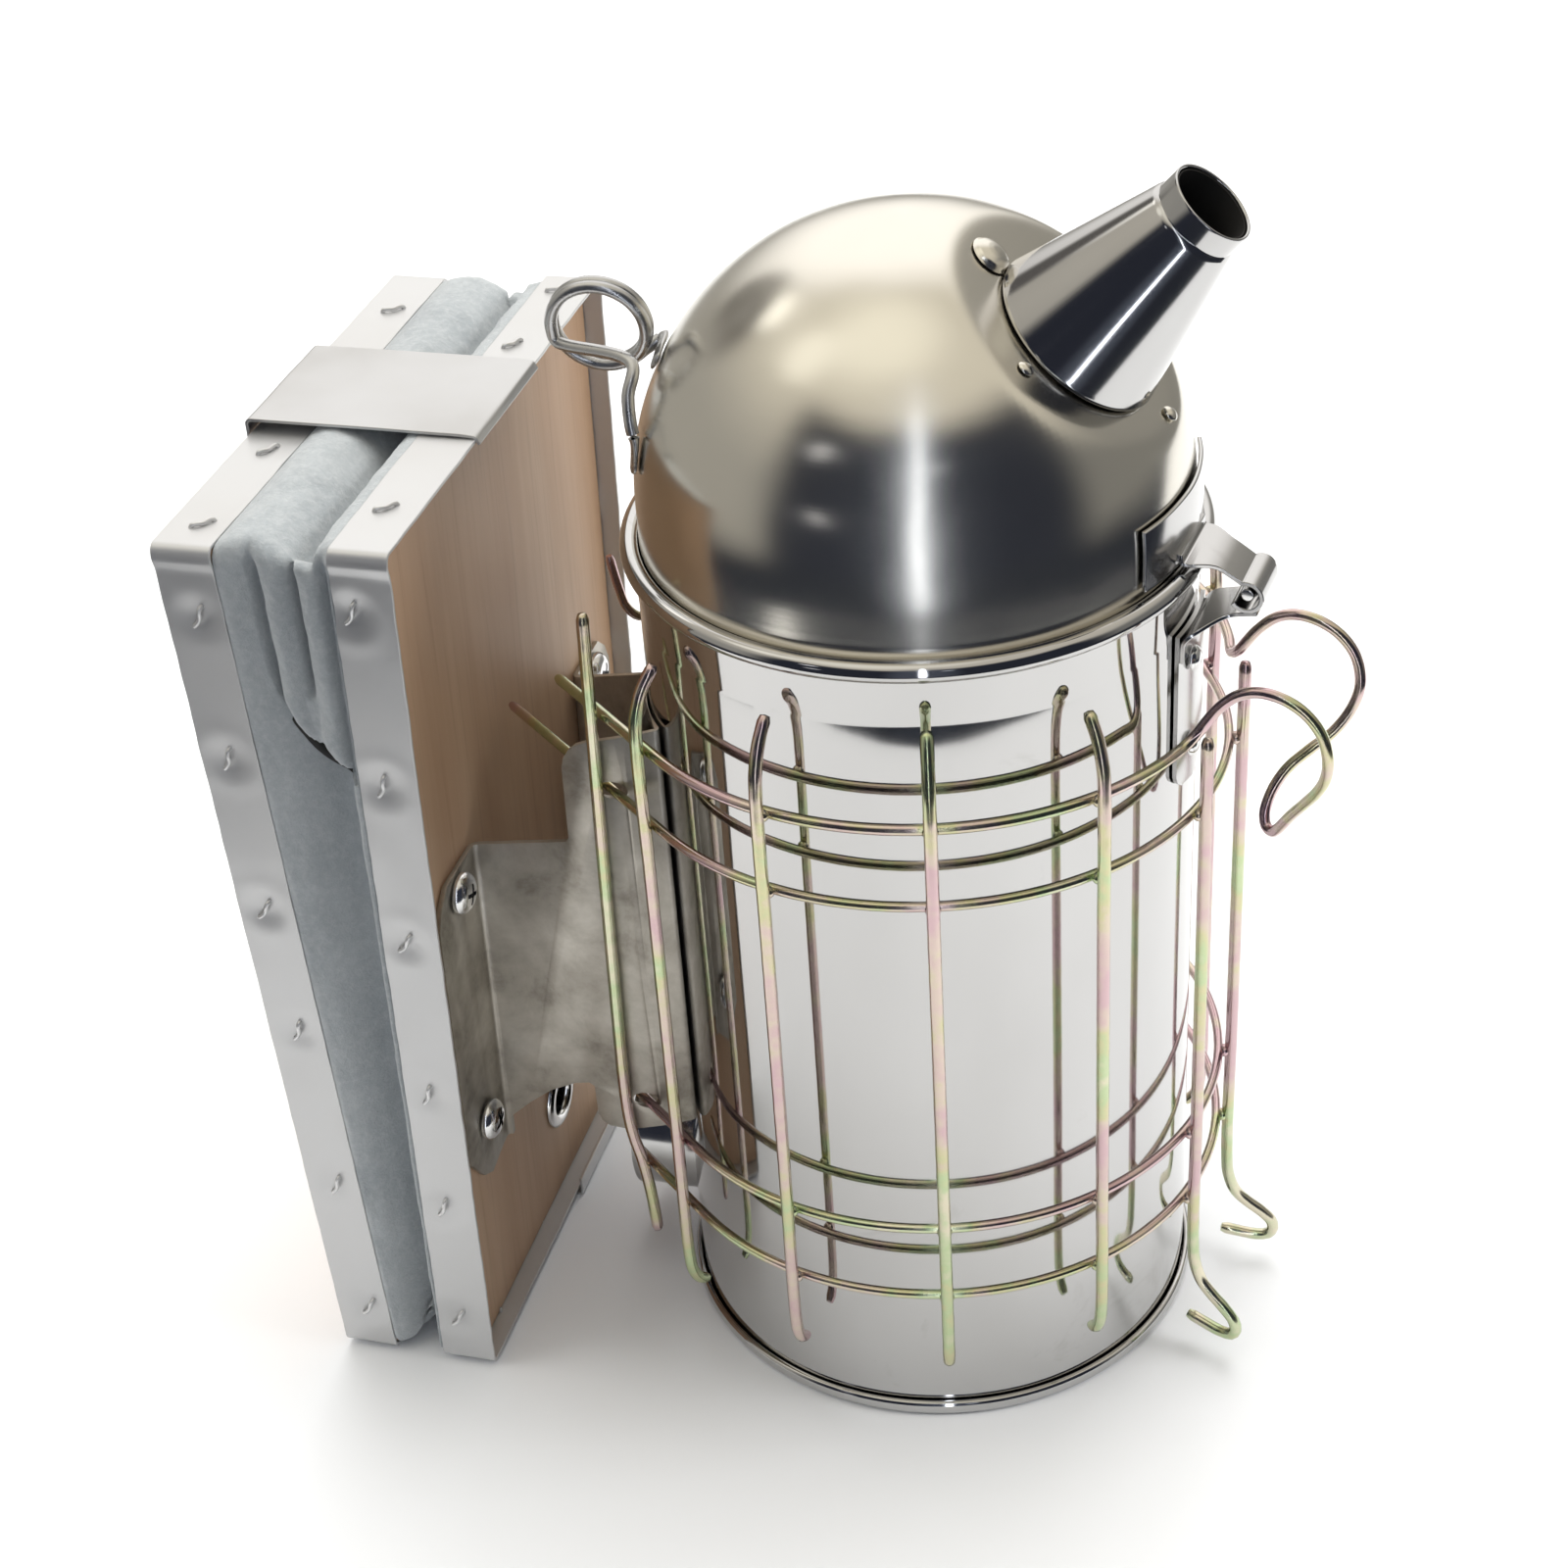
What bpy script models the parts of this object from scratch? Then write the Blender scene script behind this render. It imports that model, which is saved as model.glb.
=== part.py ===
"""A hand smoker: a lidded steel fire pot inside a wire guard, with wooden bellows on a sheet bracket.

World frame: Z up, origin at the middle of the fire pot's foot, bellows toward -X. All figures below are millimetres.
"""

import math

import bmesh
import bpy
from mathutils import Matrix, Vector

MM = 0.001

# Fire pot.
CAN_R = 51.0
CAN_WALL = 0.8
CAN_FOOT_Z = 1.2
BEAD_R = 51.7
BEAD_Z = 173.3
BEAD_WIRE_R = 1.9
SEAM_R = 52.6
SEAM_H = 3.2
FLOOR_T = 0.9
GAP = 0.3
GRATE_R = 47.5
GRATE_Z = 40.0
AIR_TUBE_R = 14.5
AIR_TUBE_Z = 23.5
AIR_TUBE_OUT_X = -63.0
AIR_TUBE_IN_X = -47.0

# The lid, its hinge and the guard are all turned by this much about the pot's axis.
HEAD_TURN = -6.5

# Lid.
DOME_R = 50.0
DOME_Z = 182.1
DOME_FOOT_Z = 175.6
DOME_WALL = 0.8
SEAT_DISTANCE = 43.4
NOZZLE_TILT = 41.3
NOZZLE_DROP = 2.0
NOZZLE_LENGTH = 34.6
NOZZLE_BASE_R = 16.8
NOZZLE_TIP_R = 8.2
NOZZLE_NECK_R = 7.8
NOZZLE_NECK = 4.2
NOZZLE_WALL = 0.7
VENT_R = 14.0
COIL_R = 8.5
COIL_WIRE = 1.15

# Hinge.
PIN_X = 62.0
PIN_Z = 170.2
PIN_R = 1.2
KNUCKLE_R = 2.7
KNUCKLE_HALF = 5.2
LEAF_T = 0.8
LEAF_HALF = 18.3
LEAF_TOP = 187.8
STRAP_HALF = 8.5
RIVET_HEIGHTS = (155.2, 137.2)
RIVET_ANGLE = -3.0
EAR_IN = 5.7
EAR_OUT = 6.7

# Guard.
RING_R = 57.1
RING_HEIGHTS = (145.4, 129.2, 54.5, 37.7)
RING_WIRE = 0.95
HOOK_WIRE = 1.05
BAR_R = 59.6
BAR_WIRE = 1.2
BAR_ANGLES = (39.0, 69.0, 98.5, 128.0)
BAR_ENDS = ((19.8, 161.5), (19.6, 163.7), (20.0, 163.6), (17.1, 162.7))
FRONT_BAR_ANGLE = 13.0
RING_LEAVE = 124.2
SIDE_BAR_Y = -32.5

# Bracket.
ARM_Y = 30.5
SHEET = 1.0
FLANGE_X = -82.55
FLANGE_END_Y = 50.0
WEB_R = 51.9
SCREW_Y = 40.3
SCREW_HEIGHTS = (108.5, 52.5)
SCREW_HOLE_R = 2.1

# Bellows. Each board leans, so its outer plane is X = at floor + lean * Z.
BOARD_HALF = 57.4
FRONT_X = -81.03
FRONT_LEAN = 0.0205
FRONT_TOP = 191.2
REAR_X = -113.8
REAR_LEAN = -0.0402
REAR_TOP = 189.4
BOARD_BOTTOM = 1.0
STRIP_W = 11.2
STRIP_T = 0.7
LIP = 4.0
STRAP_T = 0.6
WOOD_IN = 11.0
STRIP_CORNER = 1.5
OUTLET_Z = 24.9
INTAKE_Z = 95.0
INTAKE_R = 8.0
SPRING_Z = 142.0
SPRING_R = 9.0
SPRING_WIRE = 0.8
SPRING_TURNS = 4


def clear_scene():
    for obj in list(bpy.data.objects):
        bpy.data.objects.remove(obj, do_unlink=True)


def collection(name, hidden=False):
    found = bpy.data.collections.new(name)
    bpy.context.scene.collection.children.link(found)
    found.hide_render = hidden
    return found


def material(name, color, metallic, roughness):
    mat = bpy.data.materials.new(name)
    mat.use_nodes = True
    shader = mat.node_tree.nodes["Principled BSDF"]
    shader.inputs["Base Color"].default_value = (*color, 1.0)
    shader.inputs["Metallic"].default_value = metallic
    shader.inputs["Roughness"].default_value = roughness
    mat.diffuse_color = (*color, 1.0)
    return mat


def mesh_object(name, points, faces, mat=None, cutter=False):
    """A closed mesh from points in millimetres, with its faces turned outward."""
    mesh = bpy.data.meshes.new(name)
    mesh.from_pydata([Vector(p) * MM for p in points], [], faces)
    shell = bmesh.new()
    shell.from_mesh(mesh)
    bmesh.ops.recalc_face_normals(shell, faces=shell.faces)
    if shell.calc_volume(signed=True) < 0:
        bmesh.ops.reverse_faces(shell, faces=shell.faces)
    shell.to_mesh(mesh)
    shell.free()
    obj = bpy.data.objects.new(name, mesh)
    (CUTTERS if cutter else PARTS).objects.link(obj)
    if cutter:
        obj.hide_render = True
        obj.display_type = "WIRE"
    if mat:
        mesh.materials.append(mat)
    return obj


def revolve(name, profile, steps, mat=None, cutter=False, axis_ends=True):
    """Turns a profile of (radius, height) about Z. With axis_ends, its first and last points lie on the axis."""
    points, rings = [], []
    for radius, height in profile:
        if radius == 0.0:
            rings.append([len(points)])
            points.append((0.0, 0.0, height))
            continue
        rings.append([len(points) + i for i in range(steps)])
        for i in range(steps):
            turn = 2 * math.pi * i / steps
            points.append((radius * math.cos(turn), radius * math.sin(turn), height))
    pairs = list(zip(rings, rings[1:]))
    if not axis_ends:
        pairs.append((rings[-1], rings[0]))
    faces = []
    for low, high in pairs:
        for i in range(steps):
            j = (i + 1) % steps
            corners = [low[i % len(low)], low[j % len(low)], high[j % len(high)], high[i % len(high)]]
            faces.append(tuple(dict.fromkeys(corners)))
    return mesh_object(name, points, faces, mat, cutter)


def prism(name, outline, axis, low, high, mat=None, cutter=False):
    """Pushes a flat outline along one axis. The outline's two figures are the other two axes, in XYZ order."""
    points = []
    for level in (low, high):
        for a, b in outline:
            point = [a, b]
            point.insert("xyz".index(axis), level)
            points.append(tuple(point))
    count = len(outline)
    faces = [tuple(range(count)), tuple(range(count, 2 * count))]
    faces += [(i, (i + 1) % count, (i + 1) % count + count, i + count) for i in range(count)]
    return mesh_object(name, points, faces, mat, cutter)


def cylinder(name, radius, start, end, mat=None, cutter=False, steps=24, top=None):
    """A round bar, or a cone, from start to end."""
    start, end = Vector(start), Vector(end)
    length = (end - start).length
    profile = [(0.0, 0.0), (radius, 0.0), (top or radius, length), (0.0, length)]
    obj = revolve(name, profile, steps, mat, cutter)
    place(obj, start, end - start)
    return obj


def place(obj, origin, direction):
    """Stands a shape made along Z on a point, with its Z along the direction."""
    turn = Vector(direction).to_track_quat("Z", "Y").to_matrix().to_4x4()
    obj.data.transform(Matrix.Translation(Vector(origin) * MM) @ turn)


def combine(obj, other, operation):
    step = obj.modifiers.new(operation.lower(), "BOOLEAN")
    step.operation = operation
    step.solver = "EXACT"
    step.object = other


def bake(obj):
    """Replaces an object's data with its evaluated mesh, so that later steps can move its points."""
    graph = bpy.context.evaluated_depsgraph_get()
    mesh = bpy.data.meshes.new_from_object(obj.evaluated_get(graph))
    if obj.type == "MESH":
        obj.modifiers.clear()
        obj.data = mesh
        return obj
    name = obj.name
    holder = obj.users_collection[0]
    bpy.data.objects.remove(obj, do_unlink=True)
    baked = bpy.data.objects.new(name, mesh)
    holder.objects.link(baked)
    return baked


def wire(name, points, radius, mat, sides=2, turned=0.0):
    """A round wire through points in millimetres, turned about Z."""
    curve = bpy.data.curves.new(name, "CURVE")
    curve.dimensions = "3D"
    curve.bevel_depth = radius * MM
    curve.bevel_resolution = sides
    curve.use_fill_caps = True
    line = curve.splines.new("POLY")
    line.points.add(len(points) - 1)
    spin = Matrix.Rotation(math.radians(turned), 4, "Z")
    for slot, point in zip(line.points, points):
        slot.co = (*(spin @ Vector(point) * MM), 1.0)
    curve.materials.append(mat)
    obj = bpy.data.objects.new(name, curve)
    PARTS.objects.link(obj)
    return obj


def turn_head(obj):
    obj.data.transform(Matrix.Rotation(math.radians(HEAD_TURN), 4, "Z"))


def arc(radius, start, end, steps, height):
    """Points on a level circle about Z, in degrees."""
    for i in range(steps + 1):
        turn = math.radians(start + (end - start) * i / steps)
        yield (radius * math.cos(turn), radius * math.sin(turn), height)


def circle(center, radius, start, end, steps):
    """Flat points on a circle, in degrees."""
    for i in range(steps + 1):
        turn = math.radians(start + (end - start) * i / steps)
        yield (center[0] + radius * math.cos(turn), center[1] + radius * math.sin(turn))


def sheet_outline(path, thickness):
    """The closed outline of bent sheet, with mitred corners, along a flat path."""
    sides = ([], [])
    for i, point in enumerate(path):
        here = Vector(point)
        before = (here - Vector(path[i - 1])).normalized() if i else None
        after = (Vector(path[i + 1]) - here).normalized() if i + 1 < len(path) else None
        along = ((before or after) + (after or before)).normalized()
        normal = Vector((-along.y, along.x))
        scale = 1.0 / max(0.5, along.dot(after or before))
        for side, sign in zip(sides, (1, -1)):
            side.append(tuple(here + normal * sign * scale * thickness / 2))
    return sides[0] + sides[1][::-1]


def rounded(half, low, high, inset, corner, steps=3):
    """A loop of (y, z) round a board's outline, set in by the inset."""
    radius = max(corner - inset, 0.4)
    a, b, c = half - inset - radius, low + inset + radius, high - inset - radius
    loop = []
    for y, z, start in ((a, c, 0), (-a, c, 90), (-a, b, 180), (a, b, 270)):
        loop += circle((y, z), radius, start, start + 90, steps)
    return loop


def front_plane(z):
    return FRONT_X + FRONT_LEAN * z


def rear_plane(z):
    return REAR_X + REAR_LEAN * z


def loft(name, loops, mat=None, ring=False, cutter=False):
    """Joins loops of equal length. Without ring, the first and last are capped."""
    count = len(loops[0])
    points = [p for loop in loops for p in loop]
    faces = []
    last = len(loops) if ring else len(loops) - 1
    for k in range(last):
        a, b = k * count, (k + 1) % len(loops) * count
        faces += [(a + i, a + (i + 1) % count, b + (i + 1) % count, b + i) for i in range(count)]
    if not ring:
        faces += [tuple(range(count)), tuple(range((len(loops) - 1) * count, len(loops) * count))]
    return mesh_object(name, points, faces, mat, cutter)


def board_loop(plane, offset, top, inset, corner=STRIP_CORNER):
    return [(plane(z) + offset, y, z) for y, z in rounded(BOARD_HALF, BOARD_BOTTOM, top, inset, corner)]


# Fire pot.


def make_can():
    start = -math.degrees(math.acos((CAN_R - BEAD_R) / BEAD_WIRE_R))
    end = math.degrees(math.acos((CAN_R - CAN_WALL - BEAD_R) / BEAD_WIRE_R))
    bead = list(circle((BEAD_R, BEAD_Z), BEAD_WIRE_R, start, 360 - end, 9))
    profile = [(CAN_R, CAN_FOOT_Z), (CAN_R, 90.0), *bead, (CAN_R - CAN_WALL, 90.0), (CAN_R - CAN_WALL, CAN_FOOT_Z)]
    can = revolve("can_body", profile, 60, STEEL_MIRROR, axis_ends=False)
    hole = cylinder(
        "air_hole", AIR_TUBE_R + GAP, (AIR_TUBE_OUT_X, 0, AIR_TUBE_Z), (-20, 0, AIR_TUBE_Z), cutter=True, steps=32
    )
    combine(can, hole, "DIFFERENCE")
    return can


def make_can_base():
    inner = CAN_R - CAN_WALL - GAP
    profile = [
        (0.0, 0.0),
        (SEAM_R - 0.6, 0.0),
        (SEAM_R, 0.6),
        (SEAM_R, SEAM_H - 0.4),
        (SEAM_R - 0.4, SEAM_H),
        (CAN_R + GAP, SEAM_H),
        (CAN_R + GAP, FLOOR_T),
        (inner, FLOOR_T),
        (inner, SEAM_H - 0.6),
        (inner - 0.8, SEAM_H - 0.6),
        (inner - 0.8, FLOOR_T),
        (0.0, FLOOR_T),
    ]
    return revolve("can_base", profile, 56, STEEL_MIRROR)


def make_grate():
    """A perforated plate on three legs, above the air inlet."""
    plate = cylinder("ash_grate", GRATE_R, (0, 0, GRATE_Z), (0, 0, GRATE_Z + 0.8), GRATE_STEEL, steps=36)
    for k in range(3):
        turn = math.radians(30 + 120 * k)
        x, y = 38 * math.cos(turn), 38 * math.sin(turn)
        leg = cylinder(f"grate_leg_{k}", 1.5, (x, y, FLOOR_T + GAP), (x, y, GRATE_Z + 0.4), cutter=True, steps=8)
        combine(plate, leg, "UNION")
    for ring, count in ((0, 1), (17, 6), (33, 12)):
        for k in range(count):
            turn = 2 * math.pi * k / count
            x, y = ring * math.cos(turn), ring * math.sin(turn)
            name = f"grate_hole_{ring}_{k}"
            hole = cylinder(name, 3.0, (x, y, GRATE_Z - 2), (x, y, GRATE_Z + 3), cutter=True, steps=10)
            combine(plate, hole, "DIFFERENCE")


def make_air_tube():
    length = AIR_TUBE_IN_X - AIR_TUBE_OUT_X
    profile = [(AIR_TUBE_R, 0), (AIR_TUBE_R, length), (AIR_TUBE_R - 0.8, length), (AIR_TUBE_R - 0.8, 0)]
    tube = revolve("air_tube", profile, 32, STEEL_BRUSHED, axis_ends=False)
    place(tube, (AIR_TUBE_OUT_X, 0, AIR_TUBE_Z), (1, 0, 0))


# Lid.


def seat_axis():
    tilt = math.radians(NOZZLE_TILT)
    return Vector((math.sin(tilt), 0.0, math.cos(tilt)))


def seat_point(distance):
    """A point on the nozzle's own line, which runs just below the dome's middle."""
    down = Vector((seat_axis().z, 0.0, -seat_axis().x)) * NOZZLE_DROP
    return Vector((0, 0, DOME_Z)) + seat_axis() * distance + down


def dome_solid(name, radius, seat, foot, mat=None, cutter=False):
    profile = [(0.0, foot), (radius, foot)]
    profile += [(radius * math.cos(a), DOME_Z + radius * math.sin(a)) for a in (math.pi / 24 * i for i in range(12))]
    profile.append((0.0, DOME_Z + radius))
    dome = revolve(name, profile, 56, mat, cutter)
    middle = Vector((0, 0, DOME_Z))
    slab = cylinder(f"{name}_seat", 60, middle + seat_axis() * seat, middle + seat_axis() * 90, cutter=True, steps=12)
    combine(dome, slab, "DIFFERENCE")
    return dome


def make_dome():
    dome = dome_solid("lid_dome", DOME_R, SEAT_DISTANCE, DOME_FOOT_Z, STEEL_BRUSHED)
    inner = dome_solid("dome_hollow", DOME_R - DOME_WALL, SEAT_DISTANCE - DOME_WALL, DOME_FOOT_Z - 5, cutter=True)
    combine(dome, inner, "DIFFERENCE")
    vent = cylinder("dome_vent", VENT_R, seat_point(30), seat_point(60), cutter=True, steps=40)
    combine(dome, vent, "DIFFERENCE")
    turn_head(bake(dome))


def make_nozzle():
    cone = NOZZLE_LENGTH - NOZZLE_NECK
    t = NOZZLE_WALL
    profile = [
        (NOZZLE_BASE_R, 0),
        (NOZZLE_BASE_R - 1.1, 3),
        (NOZZLE_TIP_R, cone - 0.5),
        (NOZZLE_NECK_R, cone),
        (NOZZLE_NECK_R, NOZZLE_LENGTH),
        (NOZZLE_NECK_R - t, NOZZLE_LENGTH),
        (NOZZLE_NECK_R - t, cone),
        (NOZZLE_TIP_R - t, cone - 0.5),
        (NOZZLE_BASE_R - 1.1 - t, 3),
        (NOZZLE_BASE_R - t, 0),
    ]
    nozzle = revolve("nozzle", profile, 44, STEEL_MIRROR, axis_ends=False)
    place(nozzle, seat_point(SEAT_DISTANCE + GAP), seat_axis())
    turn_head(nozzle)


def make_nozzle_bosses():
    """Three pressed rivet heads on the flat seat round the nozzle's foot."""
    across = seat_axis().cross(Vector((0, 1, 0)))
    spots = ((2.2, -20.9, 1.5, 0.9), (-0.7, 20.4, 3.2, 1.8), (-19.6, 3.8, 1.5, 0.9))
    for k, (side, up, radius, height) in enumerate(spots, 1):
        profile = [(0.0, 0.0), (radius, 0.0), (radius * 0.8, height * 0.6), (radius * 0.4, height * 0.93), (0.0, height)]
        boss = revolve(f"nozzle_boss_{k}", profile, 16, STEEL_MIRROR)
        origin = seat_point(SEAT_DISTANCE + GAP) + Vector((0, side, 0)) + across * up
        place(boss, origin, seat_axis())
        turn_head(boss)


def make_handle():
    """A finger coil of wire whose two ends land on the dome."""
    center = Vector((-54.5, -5.8, 211.2))
    axis = Vector((-0.05, 0.982, 0.179)).normalized()
    out = axis.cross(Vector((0, 0, 1))).normalized()
    up = out.cross(axis).normalized()
    points = [(-45.9, -20.4, 197.4), (-46.0, -19.2, 199.8), (-46.2, -17.0, 203.6), (-46.3, -13.6, 207.8)]
    start, end, steps = -20, 655, 38
    for i in range(steps + 1):
        turn = math.radians(start + (end - start) * i / steps)
        depth = -1.45 + 2.9 * i / steps
        step = -out * math.cos(turn) + up * math.sin(turn)
        points.append(tuple(center + axis * depth + step * COIL_R))
    points += [(-50.0, -3.4, 203.8), (-47.8, -1.9, 205.0), (-45.9, -1.2, 207.6)]
    wire("coil_handle", points, COIL_WIRE, BRIGHT_WIRE)
    make_pad("handle_pad_1", Vector((-44.0, -20.2, 194.4)), Vector((0.1, -0.15, -1.0)), 3.1)
    make_pad("handle_pad_2", Vector((-42.9, -5.6, 206.8)), Vector((0.1, -1.0, -0.1)), 6.4)


def make_pad(name, spot, along, half):
    """A flattened wire end lying on the dome."""
    middle = Vector((0, 0, DOME_Z))
    normal = (spot - middle).normalized()
    along = (along - normal * along.dot(normal)).normalized()
    side = normal.cross(along)
    outer, inner = [], []
    for a, b in circle((0, 0), 1.0, 0, 330, 11):
        flat = (spot - middle) + along * a * half + side * b * 1.9
        inner.append(tuple(middle + flat.normalized() * (DOME_R + GAP)))
        outer.append(tuple(middle + flat.normalized() * (DOME_R + GAP + 0.7)))
    loft(name, [inner, outer], BRIGHT_WIRE)


# Hinge, made about the head's own X axis and turned with it.


def dome_radius(z):
    if z <= DOME_Z:
        return DOME_R
    return math.sqrt(DOME_R**2 - (z - DOME_Z) ** 2)


def make_upper_leaf():
    heights = (176.0, 179.0, 182.1, 185.0, 189.0)
    profile = [(dome_radius(z) + GAP + 0.05 + LEAF_T, z) for z in heights]
    profile += [(dome_radius(z) + GAP + 0.05, z) for z in heights[::-1]]
    leaf = revolve("upper_hinge_leaf", profile, 96, STEEL_BRUSHED, axis_ends=False)
    edge = [(-LEAF_HALF, 176.1), (LEAF_HALF, 176.1), (LEAF_HALF, LEAF_TOP - 1), (LEAF_HALF - 1, LEAF_TOP)]
    edge += [(1 - LEAF_HALF, LEAF_TOP), (-LEAF_HALF, LEAF_TOP - 1)]
    combine(leaf, prism("leaf_outline", edge, "x", 30, 60, cutter=True), "INTERSECT")
    path = [(50.75, 176.5), (54.2, 176.3), (57.0, 175.4), (59.3, 174.0)]
    path += list(circle((PIN_X, PIN_Z), KNUCKLE_R, 112, -150, 14))
    tab = prism("upper_tab", sheet_outline(path, LEAF_T), "y", -12, 12, cutter=True)
    plan = [(49, -7.6), (52.0, -7.4), (57.5, -KNUCKLE_HALF), (68, -KNUCKLE_HALF)]
    plan += [(x, -y) for x, y in plan[::-1]]
    combine(tab, prism("upper_tab_plan", plan, "z", 160, 182, cutter=True), "INTERSECT")
    combine(leaf, tab, "UNION")
    turn_head(bake(leaf))


def make_lower_leaf():
    inner = CAN_R + GAP
    profile = [(inner, 120.0), (inner + LEAF_T, 120.0), (inner + LEAF_T, 162.6), (inner, 162.6)]
    leaf = revolve("lower_hinge_leaf", profile, 96, STEEL_BRUSHED, axis_ends=False)
    tongue = [(STRAP_HALF, 133.5), (STRAP_HALF, 168.0), (-STRAP_HALF, 168.0), (-STRAP_HALF, 133.5)]
    tongue += [(-STRAP_HALF * math.cos(a), 133.5 - 5.0 * math.sin(a)) for a in (math.pi * i / 8 for i in range(1, 8))]
    combine(leaf, prism("strap_outline", tongue, "x", 30, 60, cutter=True), "INTERSECT")
    middle = inner + LEAF_T / 2
    path = [(middle, 158.0), (middle, 160.6), (53.3, 162.8), (56.5, 164.5), (60.0, 165.7), (63.6, 166.1)]
    tab = prism("lower_tab", sheet_outline(path, LEAF_T), "y", -12, 12, cutter=True)
    plan = [(49, -STRAP_HALF), (52.6, -STRAP_HALF), (59.5, 1.5 - KNUCKLE_HALF), (68, 1.5 - KNUCKLE_HALF)]
    plan += [(68, EAR_OUT), (58.5, EAR_OUT), (52.6, STRAP_HALF), (49, STRAP_HALF)]
    combine(tab, prism("lower_tab_plan", plan, "z", 150, 182, cutter=True), "INTERSECT")
    combine(leaf, tab, "UNION")
    ear = [(59.4, 165.6), (63.9, 166.1), (64.6, 168.4), *circle((PIN_X, PIN_Z), 2.6, 0, 180, 8), (59.1, 168.0)]
    combine(leaf, prism("ear", ear, "y", EAR_IN, EAR_OUT, cutter=True), "UNION")
    bore = cylinder("ear_bore", PIN_R + GAP, (PIN_X, -9, PIN_Z), (PIN_X, 9, PIN_Z), cutter=True, steps=16)
    combine(leaf, bore, "DIFFERENCE")
    turn_head(bake(leaf))


def make_pin():
    """The pin's near end stops inside the knuckle, and its far end is headed outside the ear."""
    length = KNUCKLE_HALF - 1.0 + EAR_OUT + GAP
    profile = [(0.0, 0.0), (1.9, 0.0), (1.9, 0.7), (PIN_R, 0.7), (PIN_R, length + 0.7), (0.0, length + 0.7)]
    pin = revolve("hinge_pin", profile, 16, BRIGHT_WIRE)
    place(pin, (PIN_X, EAR_OUT + GAP + 0.7, PIN_Z), (0, -1, 0))
    turn_head(pin)
    for k, z in enumerate(RIVET_HEIGHTS, 1):
        profile = [(0.0, 0.0), (2.3, 0.0), (1.9, 0.8), (1.0, 1.35), (0.0, 1.5)]
        rivet = revolve(f"hinge_rivet_{k}", profile, 14, BRIGHT_WIRE)
        place(rivet, (CAN_R + LEAF_T + 2 * GAP + 0.05, 0, z), (1, 0, 0))
        rivet.data.transform(Matrix.Rotation(math.radians(RIVET_ANGLE), 4, "Z"))
        turn_head(rivet)


# Guard, in the head's own frame.


def local(x, y, z):
    """A world point in the head's frame."""
    return tuple(Matrix.Rotation(math.radians(-HEAD_TURN), 4, "Z") @ Vector((x, y, z)))


def straight_end(side, length, height):
    """The end of a wire that runs off its ring in a straight line."""
    turn = math.radians(side * RING_LEAVE)
    start = Vector((RING_R * math.cos(turn), RING_R * math.sin(turn), height))
    way = Vector((-math.sin(turn), math.cos(turn), 0)) * side
    return tuple(start + way * length)


def make_rings():
    near_ends = (36.2, 57.3, 33.0, 25.8)
    far_ends = (34.0, None, 35.0, 33.0)
    for k, height in enumerate(RING_HEIGHTS):
        start = [straight_end(-1, near_ends[k], height)]
        if far_ends[k]:
            end = [straight_end(1, far_ends[k], height)]
        else:
            end = [straight_end(1, 35.5, height)]
            bent = ((-61.4, 32.3, 0.0), (-64.1, 30.4, 0.2), (-66.2, 28.7, 1.4), (-67.8, 27.8, 4.0))
            bent += ((-68.9, 27.6, 8.4), (-70.2, 27.5, 15.4))
            end += [local(x, y, height + rise) for x, y, rise in bent]
        if k:
            body = list(arc(RING_R, -RING_LEAVE, RING_LEAVE, 34, height))
        else:
            body = list(arc(RING_R, -RING_LEAVE, -17, 15, height)) + hook_points()
            body += list(arc(RING_R, 17, RING_LEAVE, 15, height))
        radius = RING_WIRE if k else HOOK_WIRE
        wire(f"guard_ring_{k + 1}", start + body + end, radius, ZINC_WIRE, turned=HEAD_TURN)


def hook_points():
    """The hanging hook: two arches out of the top ring that meet in a narrow tip."""
    near = [(56.4, 14.6, 147.2), (58.4, 13.9, 150.4), (60.6, 13.7, 153.4), (63.4, 13.7, 155.9), (66.8, 13.7, 157.0)]
    near += [(71.0, 13.7, 156.4), (75.0, 13.7, 154.1), (78.0, 13.6, 150.2), (79.2, 13.0, 144.8)]
    left = near + [(78.6, 11.4, 139.8), (76.8, 9.2, 135.2), (74.2, 6.6, 130.6), (71.2, 4.0, 125.6), (68.6, 1.7, 120.8)]
    right = near + [(77.8, 12.3, 139.4), (75.2, 10.5, 135.4), (71.8, 8.2, 132.6), (68.2, 5.6, 129.2), (66.0, 3.4, 125.0)]
    tip = [(67.2, 0.1, 118.9), (65.9, -1.0, 119.1), (65.3, -1.8, 121.0)]
    path = [(x, -y, z) for x, y, z in left]
    path += [(x, -y, z) for x, y, z in tip]
    return path + right[::-1]


def side_bar_shape(foot, top):
    """The radius and height of a side bar's points, from the height of its foot's end to that of its top."""
    shape = [(56.0, foot), (57.9, foot + 1.3), (59.1, foot + 4.0), (BAR_R, foot + 8.5), (BAR_R, 90.0)]
    return shape + [(BAR_R, top - 13.0), (59.1, top - 8.6), (57.6, top - 4.2), (54.8, top)]


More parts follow.
